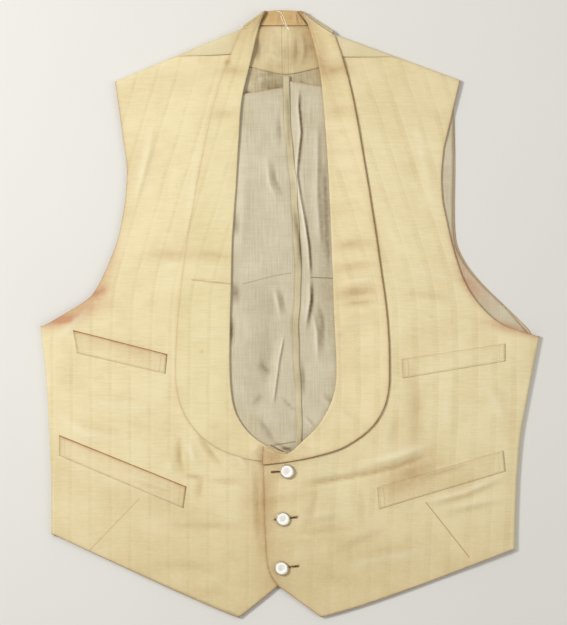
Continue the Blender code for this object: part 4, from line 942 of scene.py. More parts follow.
# %% [markdown]
# ## Rounded folds
# At the sides and shoulders the cloth turns from the upper layer to the lower one in a half circle. Walking
# along the cloth by a distance from the crest gives both the place and, unrolled, the place on the flat cut.

# %% The fold and the back's rise over the collar
RISE = 1.9  # how far the back is lifted at the neck
RISE_START, RISE_RUN = 212, 42  # the height up the garment where the lift starts, and its run
RISE_MIDDLE, RISE_HALF, RISE_FADE = -2, 66, 60  # the lifted part's middle, half width and fading


def back_rise(x, y):
    """Height of the back's outer face: flat on the table, and lifted at the neck."""
    beside = (abs(x - RISE_MIDDLE) - RISE_HALF) / RISE_FADE
    return RISE * smooth((y - RISE_START) / RISE_RUN) * (1 - smooth(beside))


def over_fold(crest, way, high, low, along):
    """Place on the outer face at a distance along the cloth from the crest, and where it is unrolled."""
    radius = (high - low) / 2
    quarter = math.pi * radius / 2
    if along > quarter:
        reach, z = radius + along - quarter, high
    elif along < -quarter:
        reach, z = radius - along - quarter, low
    else:
        reach, z = radius * (1 - math.cos(along / radius)), low + radius * (1 + math.sin(along / radius))
    unrolled = radius + along - quarter
    place = (crest[0] + way[0] * reach, crest[1] + way[1] * reach, z)
    return place, (crest[0] + way[0] * unrolled, crest[1] + way[1] * unrolled)


GRAIN_LEAN = {"left": 0.33, "right": 0.30}  # how far the stripes lean towards the neck, above the armhole
GRAIN_FLARE = {"left": 0.055, "right": 0.0}  # how far they spread below the waist
LEAN_START, LEAN_SOFT, FLARE_START = 20, 25, -86


def grain_of(side, flat):
    """Places on the garment as places on the cloth, whose stripes lean in above the armhole."""
    x, y = flat[..., 0], flat[..., 1]
    above = (np.sqrt((y - LEAN_START) ** 2 + LEAN_SOFT**2) + (y - LEAN_START)) / 2
    below = np.minimum(0, y - FLARE_START)
    return np.stack([x + outward(side) * GRAIN_LEAN[side] * above - GRAIN_FLARE[side] * below, y], axis=-1)


def shoulder_columns(side, count):
    """For each column of a shoulder: crest, way in, length to the chest, seam, and the fold's two heights."""
    s = SHOULDERS[side]
    found = []
    for k in range(count + 1):
        u = k / count
        crest = between(np.array(s.neck), np.array(s.tip), u)
        row = between(np.array(s.row_inner), np.array(s.row_outer), u)
        length = np.linalg.norm(row - crest)
        high = between(SHOULDER_AT_NECK, SHOULDER_AT_TIP, u)
        low = float(back_rise(crest[0], crest[1]))
        seam = between(s.seam_at_neck, s.seam_at_tip, u)
        found.append((crest, (row - crest) / length, length, seam, high, low))
    return found


SEAM_HALF = 0.08  # mm: half the gap between two sheets at a seam
print("fold helpers ready")

# %% [markdown]
# ## The backs
# Each back is plain cotton. Its outer side lies on the table, wraps round the shoulder and comes over the top
# to the seam, where it shows as a small triangle. So its grid starts at that seam, walks over the fold, and
# runs down to the hem.

# %% Backs
BACK_COLUMNS, BACK_NECK_COLUMNS = 34, 8
BACK_FOLD_ROWS, BACK_UNDER_ROWS, BACK_SLOPE_ROWS = 14, 6, 5
BACK_BODY_ROWS, BACK_ARMHOLE_ROWS = 52, 28
UNDER_REACH, UNDER_SETTLE, LEAST_STEP = 22, 8, 0.25  # the cloth under a shoulder, and its closest rows
BACK_SHEET = 0.8
BACK_FOLDS = [Fold([(40, 262), (120, 240)], 5, 0.3), Fold([(-60, 262), (-120, 242)], 5, 0.3)]


def back_cloth(side):
    sign = outward(side)
    low_inner = np.array([CENTRE_BACK[1].x, BACK_ROW])
    low_outer = np.array(BACK_ARMHOLES[side][0])
    share_of_neck = BACK_NECK_COLUMNS / (BACK_NECK_COLUMNS + BACK_COLUMNS)
    centre = even(CENTRE_BACK, 80) + np.array([sign * SEAM_HALF / 2, 0])
    centre = centre[np.argmin(abs(centre[:, 1] - BACK_ROW)):]
    top = np.array([CENTRE_BACK[0].x + sign * SEAM_HALF / 2, CENTRE_BACK[0].y])
    places = []
    for k, (crest, way, _, seam, high, low) in enumerate(shoulder_columns(side, BACK_COLUMNS)):
        quarter = math.pi * (high - low) / 4
        marks = [*np.linspace(seam - SEAM_HALF, -quarter, BACK_FOLD_ROWS + 1),
                 *np.linspace(-quarter, -UNDER_REACH, BACK_UNDER_ROWS + 1)[1:]]
        column, last = [], math.inf
        for mark in marks:
            last = min(mark, last - LEAST_STEP)
            place = over_fold(crest, way, high, low, last)[0]
            if last < -quarter:
                rise = float(back_rise(place[0], place[1]))
                place = (place[0], place[1], between(low, rise, smooth((-quarter - last) / UNDER_SETTLE)))
            column.append(place)
        target = between(low_inner, low_outer, share_of_neck + (1 - share_of_neck) * k / BACK_COLUMNS)
        start = np.array(column[-1][:2])
        for step in range(1, BACK_SLOPE_ROWS):
            spot = between(start, target, step / BACK_SLOPE_ROWS)
            column.append((*spot, float(back_rise(*spot))))
        places.append(column)
    places = np.array(places).transpose(1, 0, 2)
    neck = np.full((places.shape[0], BACK_NECK_COLUMNS, 3), np.nan)
    first = places[BACK_FOLD_ROWS, 0, :2]
    for r in range(BACK_FOLD_ROWS, places.shape[0]):
        share = (r - BACK_FOLD_ROWS) / (places.shape[0] - BACK_FOLD_ROWS)
        for k in range(BACK_NECK_COLUMNS):
            start = between(top, first, k / BACK_NECK_COLUMNS)
            target = between(centre[0], places[-1, 0, :2], k / BACK_NECK_COLUMNS)
            spot = between(start, target, share * places.shape[0] / max(1, places.shape[0] - 1))
            neck[r, k] = (*spot, float(back_rise(*spot)))
    upper = np.concatenate([neck, places], axis=1)
    columns = BACK_NECK_COLUMNS + BACK_COLUMNS
    side_line = [Point(p.x - sign * (SIDE_FOLD / 2 + SIDE_LIP + SIDE_GAP), p.y) for p in SIDES[side]]
    side_line[-1] = BACK_HEMS[side][-1]
    side_rows = BACK_BODY_ROWS - BACK_ARMHOLE_ROWS
    outer = np.vstack([even(BACK_ARMHOLES[side], BACK_ARMHOLE_ROWS)[:-1], even(side_line, side_rows)])
    inner = even(centre, BACK_BODY_ROWS)
    hem = even(BACK_HEMS[side], columns)
    u = np.linspace(0, 1, columns + 1)[:, None]
    body = []
    for r in range(BACK_BODY_ROWS + 1):
        bow = hem - (hem[0] + (hem[-1] - hem[0]) * u)
        spots = inner[r] + (outer[r] - inner[r]) * u
        spots = spots + bow * smooth((r - BACK_ARMHOLE_ROWS) / side_rows)
        body.append(np.column_stack([spots, back_rise(spots[:, 0], spots[:, 1])]))
    grid = np.concatenate([upper, np.array(body)])
    return Cloth(grid, grid[..., :2].copy())


pieces = {}
for side in ("left", "right"):
    name = f"back_{side}"
    pieces[name] = sheet_of(f"{name}_cloth", back_cloth(side), BACK_SHEET, FINISHES["back"], BACK_FOLDS,
                            faces_up=False, levels=1)

# %% [markdown]
# ## Inside the neck
# Through the deep neck we see the stand of the collar, a cream facing, a darker band, and the two halves of
# the grey lining with a tape over their seam. They lie on the backs, so each reads its own solid's height.
# The long folds beside the tape are the tailor's ease: more lining than back, so that it never pulls.

# %% Facing, band and lining
LINING_SHEET = 0.6
FACING_HUG = 0.55  # how much closer the facing lies than its thicker solid
LINING_ROWS = (104, 72)
LINING_COLUMNS = 120
LINING_TOPS = {"left": 228.0, "right": 222.0}
LINING_INSET = 2.5  # inside the armhole of the back
LINING_CROWD = 1.6  # above 1, so that the columns crowd towards the middle, where the folds are
COVER_GAP = 0.12  # kept free under whatever lies over a sheet
BAND_TOP = [Point(-104, 239), Point(-30, 247), Point(20, 247), Point(92, 241)]
BAND_FOOT = [Point(p.x, 206) for p in BAND_TOP]
FACING_TOP = [Point(-34, 281), Point(-27, 286.6), Point(-8, 287.2), Point(10, 286.6), Point(26, 283.8)]
FACING_BOTTOM = [Point(-52, 250), Point(-27, 243), Point(-5, 239), Point(14, 242), Point(38, 248)]
cover = [BVHTree.FromObject(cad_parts[n], bpy.context.evaluated_depsgraph_get())
         for n in ("front_left", "front_right", "collar_left", "collar_right")]


def under_cover(x, y, z, wanted):
    """Limits how far a place may rise, so that it stays below the fronts and collars that lie over it."""
    allowed = np.array(wanted, float)
    for k in range(len(x)):
        spot = Vector((x[k], y[k], z[k] + 0.05)) * MM
        hits = [tree.ray_cast(spot, Vector((0, 0, 1)))[0] for tree in cover]
        room = min([hit.z / MM - z[k] for hit in hits if hit is not None], default=math.inf)
        allowed[k] = min(allowed[k], max(0.0, room - COVER_GAP))
    return allowed


def laid(grid_xy, relief, folds):
    """Puts a flat grid on its solid's upper face, with the folds that there is room for."""
    shape = grid_xy.shape[:2]
    x, y = grid_xy[..., 0].ravel(), grid_xy[..., 1].ravel()
    z = relief.read(x, y)
    z = z + under_cover(x, y, z, drape(folds, x, y))
    return Cloth(np.column_stack([x, y, z]).reshape(*shape, 3), grid_xy.copy())


def strip_between(top, bottom, rows, columns):
    """A grid between two curves."""
    upper, lower = even(top, columns), even(bottom, columns)
    share = np.linspace(0, 1, rows + 1)[:, None, None]
    return upper + (lower - upper) * share


def lining_grid(side):
    sign = outward(side)
    top = LINING_TOPS[side]
    centre = even(CENTRE_BACK, 90) + np.array([sign * SEAM_HALF / 2, 0])
    centre = even(centre[centre[:, 1] < top + 6], sum(LINING_ROWS))
    armhole = [Point(p.x - sign * LINING_INSET, p.y) for p in BACK_ARMHOLES[side][1:-1]]
    side_line = [Point(p.x - sign * (SIDE_FOLD / 2 + SIDE_LIP + 4), p.y) for p in SIDES[side]]
    armhole = even([Point(armhole[0].x, top - 20), *armhole, side_line[0]], LINING_ROWS[0])
    outer = np.vstack([armhole[:-1], even(side_line, LINING_ROWS[1])])
    outer[-1] += np.array([0, 8])
    share = np.linspace(0, 1, LINING_COLUMNS + 1)[None, :, None] ** LINING_CROWD
    return centre[:, None] + (outer - centre)[:, None] * share


for side in ("left", "right"):
    name = f"lining_{side}"
    cloth = laid(lining_grid(side), reliefs[name], LINING_FOLDS)
    pieces[name] = sheet_of(f"{name}_cloth", cloth, LINING_SHEET, FINISHES["lining"], LINING_FOLDS)
grey_band = laid(strip_between(BAND_TOP, BAND_FOOT, 28, 120), reliefs["upper_lining"], NECK_FOLDS)
pieces["upper_lining"] = sheet_of("upper_lining_cloth", grey_band, LINING_SHEET, FINISHES["band"], NECK_FOLDS)
facing = laid(strip_between(FACING_TOP, FACING_BOTTOM, 30, 56), reliefs["neck_facing"], NECK_FOLDS)
facing.places[..., 2] -= FACING_HUG
pieces["neck_facing"] = sheet_of("neck_facing_cloth", facing, LINING_SHEET, FINISHES["facing"], NECK_FOLDS)

# %% [markdown]
# The tape is a 6 mm strip. It follows the seam, so it is made from the centre line itself, moved 3 mm to each
# side, and it rides over the same folds as the lining under it. It was sewn by hand, so it wanders a little.

# %% Tape
TAPE_WIDTH, TAPE_TOP, TAPE_END, TAPE_ROWS = 6.0, 239.0, -250.0, 240
TAPE_HUG = 0.6  # how much closer it lies than its thicker solid
TAPE_COLUMNS, TAPE_SHEET = 5, 0.5
line = even(CENTRE_BACK, 120)
line = even(line[(line[:, 1] < TAPE_TOP) & (line[:, 1] > TAPE_END)], TAPE_ROWS)
wobble = 0.5 * np.sin(line[:, 1] / 17) + 0.3 * np.sin(line[:, 1] / 6.3)
half = np.linspace(-TAPE_WIDTH / 2, TAPE_WIDTH / 2, TAPE_COLUMNS)
tape_grid = np.stack([line[:, :1] + wobble[:, None] + half, np.repeat(line[:, 1:], TAPE_COLUMNS, axis=1)],
                     axis=-1)
tape = laid(tape_grid, reliefs["centre_tape"], LINING_FOLDS)
tape.places[..., 2] -= TAPE_HUG
pieces["centre_tape"] = sheet_of("centre_tape_cloth", tape, TAPE_SHEET, FINISHES["tape"], LINING_FOLDS)

# %% [markdown]
# ## The fronts
# A front is cut in one piece from the shoulder seam to the point. Its side goes round the fold to the side
# seam underneath. The right front is laid first, and the left one laps over it where the buttons are.

# %% Fronts
FRONT_SHEET = 0.9
FRONT_COLUMNS = 100
FRONT_SHOULDER_ROWS = 60
FRONT_ROWS = {"chest": 90, "waist": 56, "skirt": 44, "point": 16}
SIDE_MARKS = 10
FLAT_FROM, FLAT_RUN = 3, 16  # past the shoulder's fold, where the cloth comes down to the chest
FOLDS_ABOVE = 3.0  # only cloth higher than this is the upper layer and takes folds


def front_shoulder(side, relief):
    places, flats = [], []
    for crest, way, length, seam, high, low in shoulder_columns(side, FRONT_COLUMNS):
        radius = (high - low) / 2
        quarter = math.pi * radius / 2
        last = length - radius + quarter
        marks = between(seam + SEAM_HALF, last, np.linspace(0, 1, FRONT_SHOULDER_ROWS + 1)[:-1])
        column, flat = [], []
        for mark in marks:
            place, unrolled = over_fold(crest, way, high, low, mark)
            if mark > quarter:
                x, y = np.array(place[0]), np.array(place[1])
                z = between(high, float(relief.read(x, y)), smooth((mark - quarter - FLAT_FROM) / FLAT_RUN))
                place = (place[0], place[1], z)
            column.append(place)
            flat.append(unrolled)
        places.append(column)
        flats.append(flat)
    return np.array(places).transpose(1, 0, 2), np.array(flats).transpose(1, 0, 2)


def front_cloth(side):
    relief = reliefs[f"front_{side}"]
    split = even(SIDES[side][SKIRT], 100)
    cut = int(SKIRT_SPLIT * 100)
    bands = {
        "chest": (NECKS[side], ARMHOLES[side]), "waist": (NECK_BOTTOMS[side], SIDES[side][WAIST]),
        "skirt": (FRONT_EDGES[side], split[:cut + 1]), "point": (POINTS[side], split[cut:]),
    }
    top, top_flat = front_shoulder(side, relief)
    blank = np.full((len(top), SIDE_MARKS + 1, 3), np.nan)
    grid = [*np.concatenate([top, blank], axis=1)]
    flat = [*np.concatenate([top_flat, blank[..., :2]], axis=1)]
    way = np.array([-outward(side), 0.0])
    radius = SIDE_FOLD / 2
    quarter = math.pi * radius / 2
    u = np.linspace(0, 1, FRONT_COLUMNS + 1)
    for name, (inner_line, outer_line) in bands.items():
        rows = FRONT_ROWS[name]
        inner, outer = even(inner_line, rows), even(outer_line, rows)
        for k in range(rows + (name == "point")):
            folded = name != "chest"
            edge = outer[k] + way * radius if folded else outer[k]
            spots = inner[k] + (edge - inner[k]) * u[:, None]
            if name == "point":
                spots[:, 1] -= HEM_BOWS[side] * k / rows * np.sin(np.pi * u**0.7)
            z = relief.read(spots[:, 0], spots[:, 1])
            if folded:
                z = between(z, SIDE_FOLD, smooth((u - 0.93) / 0.07))
            row, row_flat = [*np.column_stack([spots, z])], [*spots]
            for step in range(1, SIDE_MARKS + 2):
                mark = quarter * (1 - 2 * step / SIDE_MARKS) if step <= SIDE_MARKS else -quarter - SIDE_LIP
                place, unrolled = over_fold(outer[k], way, SIDE_FOLD, 0, mark)
                row.append(place if folded else (np.nan,) * 3)
                row_flat.append(unrolled)
            grid.append(np.array(row))
            flat.append(np.array(row_flat))
    return Cloth(np.array(grid), grain_of(side, np.array(flat)))


def with_folds(cloth, folds):
    """Adds the listed folds to the part of a sheet that faces up."""
    places = cloth.places.copy()
    lift = drape(folds, places[..., 0], places[..., 1])
    places[..., 2] += np.where(places[..., 2] > FOLDS_ABOVE, lift, 0)
    return Cloth(places, cloth.grain)


def front_face(side, x, y):
    """Height of a front's face, with its folds."""
    return reliefs[f"front_{side}"].read(x, y) + drape(FRONT_FOLDS, x, y)


for side in ("right", "left"):
    name = f"front_{side}"
    cloth = with_folds(front_cloth(side), FRONT_FOLDS)
    pieces[name] = sheet_of(f"{name}_cloth", cloth, FRONT_SHEET, FINISHES[name], FRONT_FOLDS)

# %% [markdown]
# ## The pocket welts
# A welt is the stiff strip that finishes a pocket's mouth. It is sewn down along its foot and its two ends
# and open along the top, so a dark line shows there. Its grid is stretched between its four corners.

# %% Welts
WELT_SHEET = 0.5
WELT_POINTS, WELT_LINES = 71, 15  # places along it and across it
WELT_RISE = 0.62  # its face above the front's face, so that it just clears the front


def welt_cloth(side, w):
    upper = np.linspace(np.array(w.mouth_inner), np.array(w.mouth_outer), WELT_POINTS)
    lower = np.linspace(np.array(w.foot_inner), np.array(w.foot_outer), WELT_POINTS)
    share = np.linspace(0, 1, WELT_LINES)[:, None, None]
    spots = upper + (lower - upper) * share
    x, y = spots[..., 0], spots[..., 1]
    z = front_face(side, x, y) + WELT_RISE
    return Cloth(np.stack([x, y, z], axis=-1), grain_of(side, spots))


for side, welts in WELTS.items():
    for w in welts:
        finish = FINISHES[f"welt_{side}"]
        pieces[w.name] = sheet_of(f"{w.name}_cloth", welt_cloth(side, w), WELT_SHEET, finish, FRONT_FOLDS)

# %% [markdown]
# ## The collar
# A shawl collar is one long strip that turns over at the roll line. Behind the neck it lies folded under the
# back, at the shoulder it comes over the top, and down the front it rolls back along the neck. Each of its
# sections is a row: from the hidden stand, round the roll, and out to the free edge.

# %% Collar
COLLAR_SHEET = 1.0
COLLAR_ROWS = {"behind": 14, "over": 12, "down": 160}
COLLAR_COLUMNS, ROLL_STEPS = 20, 6
FACE_AT, LIP_AT = 4.5, 2.0  # from the roll line: where the collar's face and its floor are read
SETTLE_START, SETTLE_RUN = 4, 22  # along the roll, where it comes down from the shoulder
HAIRPIN = (2.4, 3.9)  # least and greatest height of the turned cloth at the roll


def refine(table, count):
    return [Collar(*values) for values in even([list(c) for c in table], count)]


def blurred(values, reach):
    taps = np.exp(-0.5 * (np.arange(-3 * reach, 3 * reach + 1) / reach) ** 2)
    return np.convolve(np.pad(values, 3 * reach, mode="edge"), taps / taps.sum(), "valid")


def collar_rows(side):
    """Rows of places for the whole collar. Places that a row doesn't have are NaN."""
    table = COLLARS[side]
    fold = table[COLLAR_FOLD]
    way_out = np.array([fold.edge_x - fold.roll_x, fold.edge_y - fold.roll_y])
    way_out = way_out / np.linalg.norm(way_out)
    out = np.array([-way_out[1], way_out[0]]) * outward(side)
    radius = COLLAR_HIGH / 2
    to_centre = np.array([-outward(side), 0.0])
    following = table[COLLAR_FOLD + 1]
    to_front = np.array([following.roll_x - fold.roll_x, following.roll_y - fold.roll_y])
    to_front = to_front / np.linalg.norm(to_front)
    share = np.linspace(0, 1, COLLAR_COLUMNS + 1)

    def plain_row(c, inset, z, roll_way):
        spots = np.array([c.roll_x, c.roll_y]) + (np.array([c.edge_x, c.edge_y]) - np.array(
            [c.roll_x, c.roll_y])) * share[:, None]
        ways = roll_way + (-out - roll_way) * smooth(share / 0.6)[:, None]
        row = np.full((ROLL_STEPS + 1 + COLLAR_COLUMNS + 1, 3), np.nan)
        row[ROLL_STEPS + 1:] = np.column_stack([spots + inset * ways, np.full(len(share), z)])
        return row

    rows = []
    for c in refine(table[:COLLAR_FOLD + 1], COLLAR_ROWS["behind"])[:-1]:
        swing = smooth(1 - (fold.edge_x - c.edge_x) / (fold.edge_x - table[0].edge_x))
        rows.append(plain_row(c, radius * max(0.0, swing - 0.5) * 2, 0, to_centre))
    for k in range(COLLAR_ROWS["over"] + 1):
        angle = math.pi * (k / COLLAR_ROWS["over"] - 0.5)
        inset, z = radius * (1 - math.cos(angle)), radius * (1 + math.sin(angle))
        rows.append(plain_row(fold, inset, z, to_centre if angle < 0 else to_front))
    down = refine(table[COLLAR_FOLD:], COLLAR_ROWS["down"])
    roll = np.array([[c.roll_x, c.roll_y] for c in down])
    edge = np.array([[c.edge_x, c.edge_y] for c in down])
    run = np.concatenate([[0], np.cumsum(np.linalg.norm(np.diff(roll, axis=0), axis=1))])
    along = np.gradient(roll, axis=0)
    along = along / np.linalg.norm(along, axis=1)[:, None]
    bulge = np.column_stack([-along[:, 1], along[:, 0]]) * outward(side)
    width = np.linalg.norm(edge - roll, axis=1)
    way = (edge - roll) / width[:, None]
    relief, floor = reliefs[f"collar_{side}"], roll_floors[side]
    near_roll = roll + way * FACE_AT
    settled = smooth((run - SETTLE_START) / SETTLE_RUN)
    tops = between(COLLAR_HIGH, blurred(relief.read(near_roll[:, 0], near_roll[:, 1]), 2), settled)
    lip = roll + way * LIP_AT
    floors = blurred(floor.read(lip[:, 0], lip[:, 1]), 2)
    for k in range(1, len(down)):
        hairpin = float(np.clip(tops[k] - floors[k], *HAIRPIN))
        bend = hairpin / 2
        row = [(*(roll[k] + way[k] * max(down[k].stand, bend + 1)), tops[k] - hairpin)]
        for step in range(ROLL_STEPS + 1):
            angle = math.pi * (0.5 - step / ROLL_STEPS)
            spot = roll[k] + bulge[k] * bend * (1 - math.cos(angle))
            row.append((*spot, tops[k] - bend * (1 + math.sin(angle))))
        for step in range(1, COLLAR_COLUMNS + 1):
            reach = between(bend, width[k], step / COLLAR_COLUMNS)
            spot = roll[k] + way[k] * reach
            z = between(COLLAR_HIGH, float(relief.read(spot[0], spot[1])), settled[k])
            z = between(tops[k], z, smooth((reach - bend) / 5))
            row.append((*spot, z + float(drape(COLLAR_FOLDS, spot[0], spot[1])) * settled[k] * smooth(
                (reach - bend) / 6)))
        rows.append(np.array(row))
    return np.array(rows)


for side in ("right", "left"):
    name = f"collar_{side}"
    rows = collar_rows(side)
    cloth = Cloth(rows, grain_of(side, rows[..., :2]))
    pieces[name] = sheet_of(f"{name}_cloth", cloth, COLLAR_SHEET, FINISHES[name], COLLAR_FOLDS, levels=1)

# %% [markdown]
# The stand is the band that holds the collar up inside the neck. It is short and has been squeezed by the
# wearer's neck, so its left end is full of small wrinkles.

# %% Stand
STAND_HEIGHT, STAND_SHEET = 3.1, 0.9
STAND_FOLDS = [
    Fold([(5, 302), (6, 296), (7, 288)], 1.3, 0.6, 1.1), Fold([(9, 298), (12, 289)], 1.0, 0.5, 0.7),
    Fold([(12, 296), (15, 289)], 1.0, 0.4, 0.6), Fold([(1, 301), (2, 290)], 1.4, -0.4, 0.4),
    Fold([(-24, 300), (-27, 290)], 1.8, -0.3, 0.5), Fold([(-12, 302), (-13, 289)], 2.6, 0.3, 0.2),
    Fold([(-20, 301), (-21, 290)], 2.2, 0.3, 0.2),
]
stand = strip_between(STAND_TOP, STAND_BOTTOM, 20, 60)
x, y = stand[..., 0], stand[..., 1]
stand_places = np.stack([x, y, STAND_HEIGHT + drape(STAND_FOLDS, x, y)], axis=-1)
stand_cloth = Cloth(stand_places, stand.copy())
pieces["collar_stand"] = sheet_of("collar_stand_cloth", stand_cloth, STAND_SHEET, FINISHES["stand"],
                                  STAND_FOLDS)

# %% [markdown]
# ## Buttonholes
# Each hole is a slit cut through the left front, worked all round with close stitches so that it doesn't
# fray. The slit is a real cut, made with a Boolean after the cloth is finished. The stitches are a thread
# that winds round an oval: one tube whose centre goes in and out as it travels.

# %% Slits
HOLE_WIDTH = 1.1
CUT_MIDDLE, CUT_DEPTH = 8, 14  # height of each cutter's middle, and how deep it is


def hole_frame(b):
    """Middle and direction of a buttonhole, in millimetres."""
    turn = math.radians(b.hole_tilt)
    middle = (b.hole_start + b.hole_end) / 2
    return np.array([middle, b.y + (middle - b.x) * math.sin(turn)]), turn, b.hole_end - b.hole_start


bm = bmesh.new()
for b in BUTTONS:
    middle, turn, length = hole_frame(b)
    shape = Matrix.LocRotScale(Vector((*middle, CUT_MIDDLE)) * MM, Matrix.Rotation(turn, 3, "Z"),
                               Vector((length, HOLE_WIDTH, CUT_DEPTH)) * MM)
    bmesh.ops.create_cube(bm, size=1, matrix=shape)
mesh = bpy.data.meshes.new("buttonhole_cutter")
bm.to_mesh(mesh)
bm.free()
cutter = bpy.data.objects.new("buttonhole_cutter", mesh)
bpy.context.scene.collection.objects.link(cutter)
cutter.hide_render = True
cutter.hide_set(True)
slit = pieces["front_left"].modifiers.new("Slits", "BOOLEAN")
slit.operation = "DIFFERENCE"
slit.solver = "FAST"
slit.object = cutter
print("slits:", len(BUTTONS))

# %% Worked stitches
STITCH_PITCH, STITCH_REACH, THREAD_RADIUS = 0.8, 0.7, 0.22


def tube(name, path, radius, sides=6):
    """A thread: rings of points square to its path, joined, with capped ends."""
    path = np.array(path, float)
    way = np.gradient(path, axis=0)
    way = way / np.linalg.norm(way, axis=1)[:, None]
    bm = bmesh.new()
    rings = []
    for spot, forward in zip(path, way):
        across = Vector(forward).orthogonal().normalized()
        up = Vector(forward).cross(across)
        turn = [2 * math.pi * k / sides for k in range(sides)]
        rings.append([bm.verts.new((Vector(spot) + (across * math.cos(a) + up * math.sin(a)) * radius) * MM)
                      for a in turn])
    for one, two in zip(rings, rings[1:]):
        shift = min(range(sides), key=lambda s: (one[0].co - two[s].co).length)
        two[:] = two[shift:] + two[:shift]
        for k in range(sides):
            bm.faces.new((one[k], one[(k + 1) % sides], two[(k + 1) % sides], two[k]))
    bm.faces.new(rings[0][::-1])
    bm.faces.new(rings[-1])
    mesh = bpy.data.meshes.new(name)
    bm.normal_update()
    bmesh.ops.recalc_face_normals(bm, faces=bm.faces)
    bm.to_mesh(mesh)
    bm.free()
    mesh.shade_smooth()
    piece = bpy.data.objects.new(name, mesh)
    bpy.context.scene.collection.objects.link(piece)
    return piece


def worked_hole(b):
    """The thread of one buttonhole, winding round its oval."""
    middle, turn, length = hole_frame(b)
    half_long, half_wide = length / 2 + 0.3, HOLE_WIDTH / 2 + 0.3
    count = int((length * 2 + 6) / STITCH_PITCH)
    path = []
    for k in range(count * 4 + 1):
        angle = 2 * math.pi * k / (count * 4)
        swing = STITCH_REACH * 0.5 * math.sin(math.pi * k / 2)
        c, s = math.cos(angle), math.sin(angle)
        reach_x = (half_long + swing) * math.copysign(abs(c) ** 0.35, c)
        reach_y = (half_wide + swing) * math.copysign(abs(s) ** 0.6, s)
        x = middle[0] + reach_x * math.cos(turn) - reach_y * math.sin(turn)
        y = middle[1] + reach_x * math.sin(turn) + reach_y * math.cos(turn)
        z = float(front_face("left", np.array(x), np.array(y)))
        path.append((x, y, z + 0.12 + 0.1 * math.cos(math.pi * k / 2)))
    return tube(f"buttonhole_{b.name}", path, THREAD_RADIUS)


print("stitches are", STITCH_PITCH, "mm apart")

# %% [markdown]
# The welts are sewn down with small running stitches in cream thread. At the neck a white tacking stitch,
# the kind that holds cloth in place before the real sewing, was never taken out.

# %% Running stitches
STITCH_FAR, STITCH_NEAR = 6, 1.5  # from a welt's end: the two rows across it
TACK_RADIUS, TACK_HEIGHT, TACK_LEVEL = 0.32, 3.45, 288.2  # the tacking lies level above the stand's foot


def running_stitch(name, corners, surface, finish, pitch=2.6, depth=0.3, radius=0.16):
    """A thread that goes over and under the cloth along a path of straight runs."""
    corners = np.array(corners, float)
    run = np.concatenate([[0], np.cumsum(np.linalg.norm(np.diff(corners, axis=0), axis=1))])
    at = np.linspace(0, run[-1], int(run[-1] / pitch) * 8 + 1)
    x, y = np.interp(at, run, corners[:, 0]), np.interp(at, run, corners[:, 1])
    z = surface(x, y) + depth * np.sin(at * 2 * math.pi / pitch)
    piece = tube(name, np.column_stack([x, y, z]), radius)
    piece.data.materials.append(finish)
    return piece


def welt_stitches(side, w):
    """Two rows across each end of a welt and one along its foot, as the sewing machine or hand left them."""
    corners = (w.mouth_inner, w.mouth_outer, w.foot_outer, w.foot_inner)
    inner_top, outer_top, outer_foot, inner_foot = (np.array(c, float) for c in corners)
    along = (outer_top - inner_top) / np.linalg.norm(outer_top - inner_top)
    down = (inner_foot - inner_top) / np.linalg.norm(inner_foot - inner_top)
    far, near, inset = along * STITCH_FAR, along * STITCH_NEAR, down * STITCH_NEAR
    first_row = [inner_top + far + inset, inner_foot + far - inset]
    path = [*first_row, inner_foot + near - inset, inner_top + near + inset, *first_row,
            outer_foot - far - inset, outer_top - far + inset, outer_top - near + inset,
            outer_foot - near - inset]
    return running_stitch(f"stitches_{w.name}", path,
                          lambda x, y: front_face(side, x, y) + WELT_RISE + 0.02, FINISHES["cream_thread"])


loose = even([(-13.3, 302.4), (-9, 300.5), (-6, 295), (-4, 289.5), (-1, 283), (-3.5, 286.5), (-6.5, 290.5),
              (-9.5, 298)], 60)
loose_z = np.where(loose[:, 1] > TACK_LEVEL, TACK_HEIGHT, TACK_HEIGHT + 0.2 * (TACK_LEVEL - loose[:, 1]))
tacking = tube("loose_tacking_stitch", np.column_stack([loose, loose_z]), TACK_RADIUS)
tacking.data.materials.append(FINISHES["white_thread"])
sewing = [welt_stitches(side, w) for side, welts in WELTS.items() for w in welts] + [tacking]
holes = [worked_hole(b) for b in BUTTONS]
for hole in holes:
    hole.data.materials.append(FINISHES["hole_thread"])
print("worked holes:", [hole.name for hole in holes])

# %% [markdown]
# ## Buttons
# Each button is a thin pearl disc sprung into a metal cup with a rolled rim, on a shank that goes through the
# slit. Both are turned on a lathe, so both are a profile spun with the Screw modifier.

# %% Turned buttons
BUTTON_RADIUS, RIM_WIDTH, RIM_HEIGHT, SEAT_HEIGHT, PEARL_HEIGHT = 7.0, 1.0, 2.6, 1.2, 1.7
SHANK_RADIUS, DISH = 0.8, 0.45  # the dish is the hollow in the pearl's middle
TURNED_STEPS = 56


def turned(name, profile, place, finish):
    """Spins an outline, from the top of the axis to its foot, into a solid."""
    mesh = bpy.data.meshes.new(name)
    bm = bmesh.new()
    ring = [bm.verts.new((radius * MM, 0, z * MM)) for radius, z in profile]
    for a, b in zip(ring, ring[1:]):
        bm.edges.new((a, b))
    bm.to_mesh(mesh)
    bm.free()
    piece = bpy.data.objects.new(name, mesh)
    bpy.context.scene.collection.objects.link(piece)
    piece.location = (place[0] * MM, place[1] * MM, 0)
    spin = piece.modifiers.new("Turned", "SCREW")
    spin.steps = spin.render_steps = TURNED_STEPS
    spin.use_merge_vertices = True
    spin.merge_threshold = 0.00002
    spin.use_smooth_shade = True
    mesh.materials.append(finish)
    return piece


def rounded_corner(centre, radius, start, end, steps=6):
    """Points on an arc of a profile, from one angle to another in degrees."""
    angles = np.radians(np.linspace(start, end, steps))
    return [(centre[0] + radius * math.cos(a), centre[1] + radius * math.sin(a)) for a in angles]


